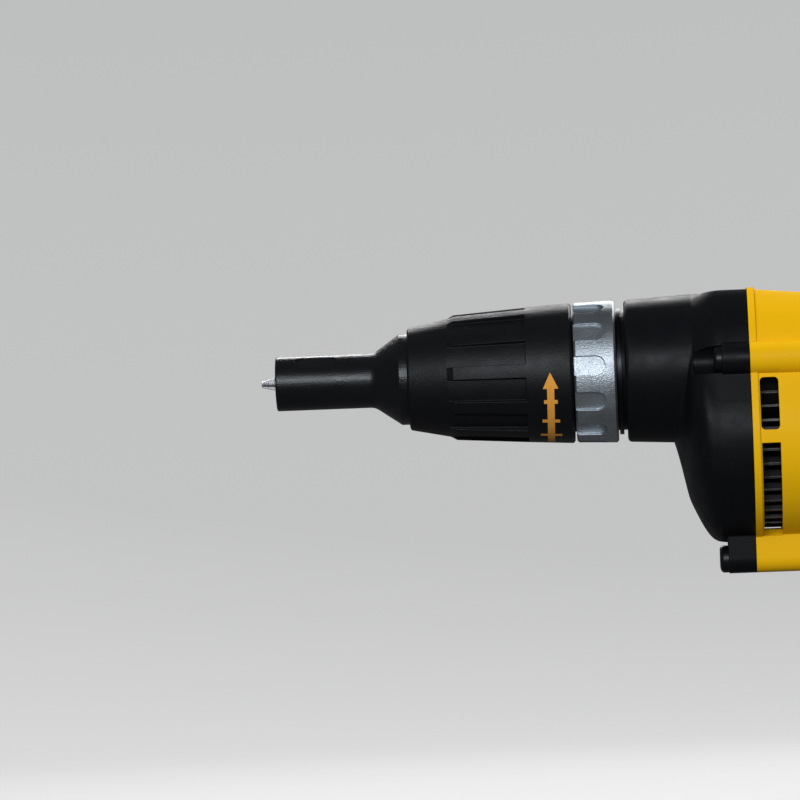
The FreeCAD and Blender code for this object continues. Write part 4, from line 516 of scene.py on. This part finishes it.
class SCREWDRIVER_OT_nose(FinishOperator, bpy.types.Operator):
    """Finish the nosepiece, depth sleeve, collar and rings"""

    bl_idname = "screwdriver.nose"
    bl_label = "Nose"

    def execute(self, context):
        finish = context.scene.screwdriver_finish
        nose = finish_material(
            "nose_black", finish.nose_black, rough=(0.25, 0.34), grain_scale=2000.0, grain_strength=0.8,
            grain_depth=0.00010, dust=0.02, edge_wear_and_highlight_lift=4.0, specular=0.36,
        )
        dress(nose, "nosepiece")
        sleeve = finish_material(
            "sleeve_black", finish.nose_black, rough=(0.38, 0.50), grain_scale=2400.0, grain_strength=0.8,
            grain_depth=0.00010, dust=0.02, edge_wear_and_highlight_lift=3.5, specular=0.22,
        )
        dress(sleeve, "depth_sleeve")
        collar = finish_material(
            "collar_grey", finish.collar_grey, blotch=0.45, blotch_scale=2600.0, rough=(0.38, 0.52),
            grain_scale=2600.0, grain_strength=0.9, grain_depth=0.00013, dust=0.40,
            dust_colour=(0.08, 0.08, 0.085, 1.0), edge_wear_and_highlight_lift=1.6, metallic=1.0,
        )
        dress(collar, "lock_collar")
        dress(turned_metal("ring_steel", finish.steel_grey, rough=(0.12, 0.25)), "sleeve_snap_ring")
        dress(turned_metal("dark_ring", RING_BLACK, rough=(0.30, 0.45)), "collar_ring")
        return {"FINISHED"}


class SCREWDRIVER_OT_marks(FinishOperator, bpy.types.Operator):
    """Print the depth arrow and its steps on the sleeve's band"""

    bl_idname = "screwdriver.marks"
    bl_label = "Depth Marks"

    def execute(self, context):
        ink = finish_material(
            "depth_ink", context.scene.screwdriver_finish.print_orange, blotch=0.10, blotch_scale=400.0,
            rough=(0.45, 0.65), dust=0.25, dust_colour=(0.05, 0.02, 0.005, 1.0), edge_amount=0.0,
            specular=0.15,
        )
        points, faces = depth_marks(context.scene.screwdriver_marks)
        mesh_piece("depth_marks", points, faces, ink, "depth_sleeve")
        return {"FINISHED"}


class SCREWDRIVER_OT_case(FinishOperator, bpy.types.Operator):
    """Finish the gear case, the screws and the bit's magnet"""

    bl_idname = "screwdriver.case"
    bl_label = "Gear Case"

    def execute(self, context):
        finish = context.scene.screwdriver_finish
        case = finish_material(
            "case_black", finish.case_black, rough=(0.34, 0.50), grain_scale=1900.0, grain_strength=0.5,
            grain_depth=0.00005, dust=0.02, edge_wear_and_highlight_lift=5.0, edge_radius=0.0006, specular=0.11,
        )
        dress(case, "gear_case")
        screws = finish_material(
            "black_oxide", OXIDE_BLACK, rough=(0.28, 0.42), metallic=0.8, edge_wear_and_highlight_lift=8.0, edge_amount=0.8,
        )
        dress(screws, "gear_case_screws", "housing_screws", "bit_magnet")
        return {"FINISHED"}


class SCREWDRIVER_OT_housing(FinishOperator, bpy.types.Operator):
    """Finish the yellow housing halves, the rubber grip and the other rubber pieces"""

    bl_idname = "screwdriver.housing"
    bl_label = "Housing and Grip"

    def execute(self, context):
        finish = context.scene.screwdriver_finish
        yellow = finish_material(
            "housing_yellow", finish.housing_yellow, blotch=0.05, blotch_scale=30.0, rough=(0.42, 0.56),
            grain_scale=2200.0, grain_strength=0.30, dust=0.05, dust_colour=(0.20, 0.11, 0.01, 1.0),
            edge_wear_and_highlight_lift=1.25, edge_radius=0.0005, specular=0.08,
        )
        dress(yellow, "housing_left", "housing_right")
        rubber = finish_material(
            "grip_rubber", finish.rubber_black, rough=(0.66, 0.84), grain_scale=900.0, grain_strength=0.8,
            grain_depth=0.00015, dust=0.15, edge_wear_and_highlight_lift=2.0, specular=0.35,
        )
        dress(
            rubber, "grip_left", "grip_right", "cord_gland", "sleeve_o_ring", "spindle_seal", "bearing_boot",
        )
        return {"FINISHED"}


class SCREWDRIVER_OT_controls(FinishOperator, bpy.types.Operator):
    """Finish the trigger, lock button, reversing lever, switch and fan baffle"""

    bl_idname = "screwdriver.controls"
    bl_label = "Controls"

    def execute(self, context):
        control = finish_material(
            "control_black", context.scene.screwdriver_finish.nose_black, rough=(0.30, 0.45),
            grain_scale=2400.0, grain_strength=0.35, dust=0.04, edge_wear_and_highlight_lift=4.0, specular=0.25,
        )
        dress(control, "trigger", "lock_button", "reversing_lever", "switch_body", "fan_baffle")
        return {"FINISHED"}


class SCREWDRIVER_OT_drive(FinishOperator, bpy.types.Operator):
    """Finish the bit, spindle, clutch, gears and bearings"""

    bl_idname = "screwdriver.drive"
    bl_label = "Drive"

    def execute(self, context):
        dress(
            turned_metal("bright_steel", context.scene.screwdriver_finish.steel_grey),
            "screwdriver_bit", "bit_holder", "spindle", "clutch_jaw", "clutch_spring", "drive_gear",
            "thrust_washer", "front_bearing_inner", "front_bearing_outer", "rear_bearing_inner",
            "rear_bearing_outer", "armature_shaft", "brush_springs",
        )
        bronze = turned_metal("bush_bronze", BUSH_BRONZE, rough=(0.35, 0.55))
        dress(bronze, "spindle_bush", "spindle_tail_bush")
        plate = finish_material(
            "plate_cast", PLATE_GREY, rough=(0.42, 0.6), grain_scale=1500.0, grain_strength=0.5, metallic=0.9,
        )
        dress(plate, "bearing_plate")
        return {"FINISHED"}


class SCREWDRIVER_OT_spring(FinishOperator, bpy.types.Operator):
    """Wind the clutch spring on the spindle, in place of the CAD spring"""

    bl_idname = "screwdriver.spring"
    bl_label = "Clutch Spring"

    def execute(self, context):
        spring = context.scene.screwdriver_spring
        steel = turned_metal("spring_steel", context.scene.screwdriver_finish.steel_grey, rough=(0.22, 0.38))
        points, faces = spring_coil(spring)
        coil = mesh_piece("clutch_spring_wire", points, faces, steel, "spindle")
        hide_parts("clutch_spring")
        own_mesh(coil)
        return {"FINISHED"}


class SCREWDRIVER_OT_motor(FinishOperator, bpy.types.Operator):
    """Finish the fan, stator, windings, commutator and brushes"""

    bl_idname = "screwdriver.motor"
    bl_label = "Motor"

    def execute(self, context):
        finish = context.scene.screwdriver_finish
        # The blade edges are lifted a long way: a painted highlight along them as well as wear
        fan = finish_material(
            "fan_black", finish.fan_black, rough=(0.4, 0.55), grain_scale=1800.0, dust=0.2,
            dust_colour=(0.06, 0.055, 0.05, 1.0), edge_wear_and_highlight_lift=18.0, edge_amount=1.0, edge_radius=0.0002,
        )
        dress(fan, "cooling_fan")
        dress(wound_copper("winding_copper", finish.copper_red), "armature_windings", "field_coils")
        dress(turned_metal("commutator_copper", finish.copper_red, rough=(0.2, 0.4)), "commutator")
        dress(stacked_sheet("sheet_stack", SHEET_GREY), "stator_core", "armature_core")
        carbon = finish_material("brush_carbon", CARBON_BLACK, rough=(0.4, 0.6), edge_wear_and_highlight_lift=2.0)
        dress(carbon, "carbon_brushes")
        dress(turned_metal("holder_brass", HOLDER_BRASS, rough=(0.25, 0.4)), "brush_holders")
        return {"FINISHED"}


# Studio


def clear_from_behind(material):
    """Let the backs of a surface's faces be seen through, so a camera outside it sees in."""
    tree = material.node_tree
    behind = new_node(tree, "ShaderNodeNewGeometry").outputs["Backfacing"]
    front = tree.nodes["Principled BSDF"].outputs["BSDF"]
    clear = new_node(tree, "ShaderNodeBsdfTransparent").outputs["BSDF"]
    mix = new_node(tree, "ShaderNodeMixShader", {0: behind, 1: front, 2: clear})
    tree.links.new(mix.outputs["Shader"], tree.nodes["Material Output"].inputs["Surface"])


def hang_paper():
    """The backdrop of pale paper, just below the tool."""
    paper = finish_material(
        "studio_paper", PAPER_GREY, blotch=0.015, blotch_scale=2.0, rough=(0.8, 0.9), edge_amount=0.0,
        grain_strength=0.05, grain_scale=300.0,
    )
    clear_from_behind(paper)
    shader = paper.node_tree.nodes["Principled BSDF"]
    shader.inputs["Emission Color"].default_value = PAPER_GLOW
    shader.inputs["Emission Strength"].default_value = PAPER_GLOW_STRENGTH
    points, faces = backdrop_surface(TOOL_MIDDLE, CAD_BOX[0][2] - FLOOR_GAP)
    floor = smooth_object("studio_floor", points, faces, paper)
    # The paper glows evenly for the camera, and its glow stays off the tool, so the blacks keep their depth
    floor.visible_glossy = False
    floor.visible_diffuse = False


def soft_light(name, place, size, power, colour=(1.0, 1.0, 1.0), in_gloss=True):
    """A rectangular area light that looks at the tool."""
    light = bpy.data.lights.new(name, "AREA")
    light.energy = power
    light.color = colour
    light.shape = "RECTANGLE"
    light.size, light.size_y = size
    lamp = bpy.data.objects.new(name, light)
    lamp.location = place
    aim = Vector(TOOL_MIDDLE) - Vector(place)
    lamp.rotation_euler = aim.to_track_quat("-Z", "Y").to_euler()
    lamp.visible_glossy = in_gloss
    bpy.context.scene.collection.objects.link(lamp)


def set_lights(scene, studio):
    """Four soft lights and a dim room.

    The top light and the side fill stay out of the gloss, so the rear light alone draws the thin rim along
    the top, and the front light the streak along the side.
    """
    key = studio.key_power
    soft_light("top_light", place=(0.05, 0.40, 0.95), size=(1.1, 0.5), power=key, in_gloss=False)
    soft_light(
        "front_light", place=(0.00, -1.30, 0.36), size=(1.0, 0.15), power=studio.fill_power, colour=COOL_WHITE
    )
    soft_light("rear_light", place=(0.25, 0.80, 0.50), size=(1.1, 0.16), power=key * REAR_SHARE)
    soft_light(
        "side_fill", place=(-0.45, -1.10, 0.45), size=(0.8, 0.8), power=studio.side_power, in_gloss=False
    )
    scene.world = scene.world or bpy.data.worlds.new("studio_world")
    scene.world.use_nodes = True
    room = scene.world.node_tree.nodes["Background"]
    room.inputs["Color"].default_value = ROOM_TINT
    room.inputs["Strength"].default_value = ROOM_STRENGTH
    # The plain view transform keeps the housing's full yellow and the depth of the blacks
    scene.view_settings.view_transform = "Standard"


def set_camera(scene, studio):
    """A camera on the tool's left that looks at the middle of the picture, rolled so that the nose dips."""
    target = Vector(PICTURE_MIDDLE)
    place = target + Vector((CAMERA_BACK, -studio.view_distance, 0.0))
    forward = (target - place).normalized()
    right = forward.cross(Vector((0, 0, 1))).normalized()
    up = right.cross(forward)
    cosine, sine = math.cos(studio.roll), math.sin(studio.roll)
    right, up = right * cosine - up * sine, up * cosine + right * sine
    lens = bpy.data.cameras.new("photo_camera")
    lens.sensor_width = SENSOR_WIDTH
    lens.lens = SENSOR_WIDTH * (target - place).length / studio.view_width
    camera = bpy.data.objects.new("photo_camera", lens)
    camera.matrix_world = Matrix((right, up, -forward)).transposed().to_4x4()
    camera.location = place
    scene.collection.objects.link(camera)
    scene.camera = camera


class SCREWDRIVER_OT_studio(FinishOperator, bpy.types.Operator):
    """Set up the pale paper, the soft lights and the camera"""

    bl_idname = "screwdriver.studio"
    bl_label = "Studio"

    def execute(self, context):
        studio = context.scene.screwdriver_studio
        hang_paper()
        set_lights(context.scene, studio)
        set_camera(context.scene, studio)
        return {"FINISHED"}


GROUPS = {
    "screwdriver_finish": ScrewdriverFinish,
    "screwdriver_marks": ScrewdriverMarks,
    "screwdriver_spring": ScrewdriverSpring,
    "screwdriver_studio": ScrewdriverStudio,
}
OPERATORS = (
    SCREWDRIVER_OT_nose,
    SCREWDRIVER_OT_marks,
    SCREWDRIVER_OT_case,
    SCREWDRIVER_OT_housing,
    SCREWDRIVER_OT_controls,
    SCREWDRIVER_OT_drive,
    SCREWDRIVER_OT_spring,
    SCREWDRIVER_OT_motor,
    SCREWDRIVER_OT_studio,
)


class SCREWDRIVER_PT_looks(bpy.types.Panel):
    """The screwdriver's finishes and studio"""

    bl_label = "Drywall Screwdriver"
    bl_space_type = "VIEW_3D"
    bl_region_type = "UI"
    bl_category = "Screwdriver"

    def draw(self, context):
        layout = self.layout
        for group in GROUPS:
            settings = getattr(context.scene, group)
            for name in settings.__annotations__:
                layout.prop(settings, name)
        for operator in OPERATORS:
            layout.operator(operator.bl_idname)


CLASSES = (*GROUPS.values(), *OPERATORS, SCREWDRIVER_PT_looks)


def register():
    for each in CLASSES:
        bpy.utils.register_class(each)
    for name, group in GROUPS.items():
        setattr(bpy.types.Scene, name, bpy.props.PointerProperty(type=group))


def unregister():
    for name in GROUPS:
        delattr(bpy.types.Scene, name)
    for each in reversed(CLASSES):
        bpy.utils.unregister_class(each)


def main():
    """Register, and make every piece in order."""
    register()
    for operator in OPERATORS:
        group, name = operator.bl_idname.split(".")
        getattr(getattr(bpy.ops, group), name)()


if __name__ == "__main__":
    main()
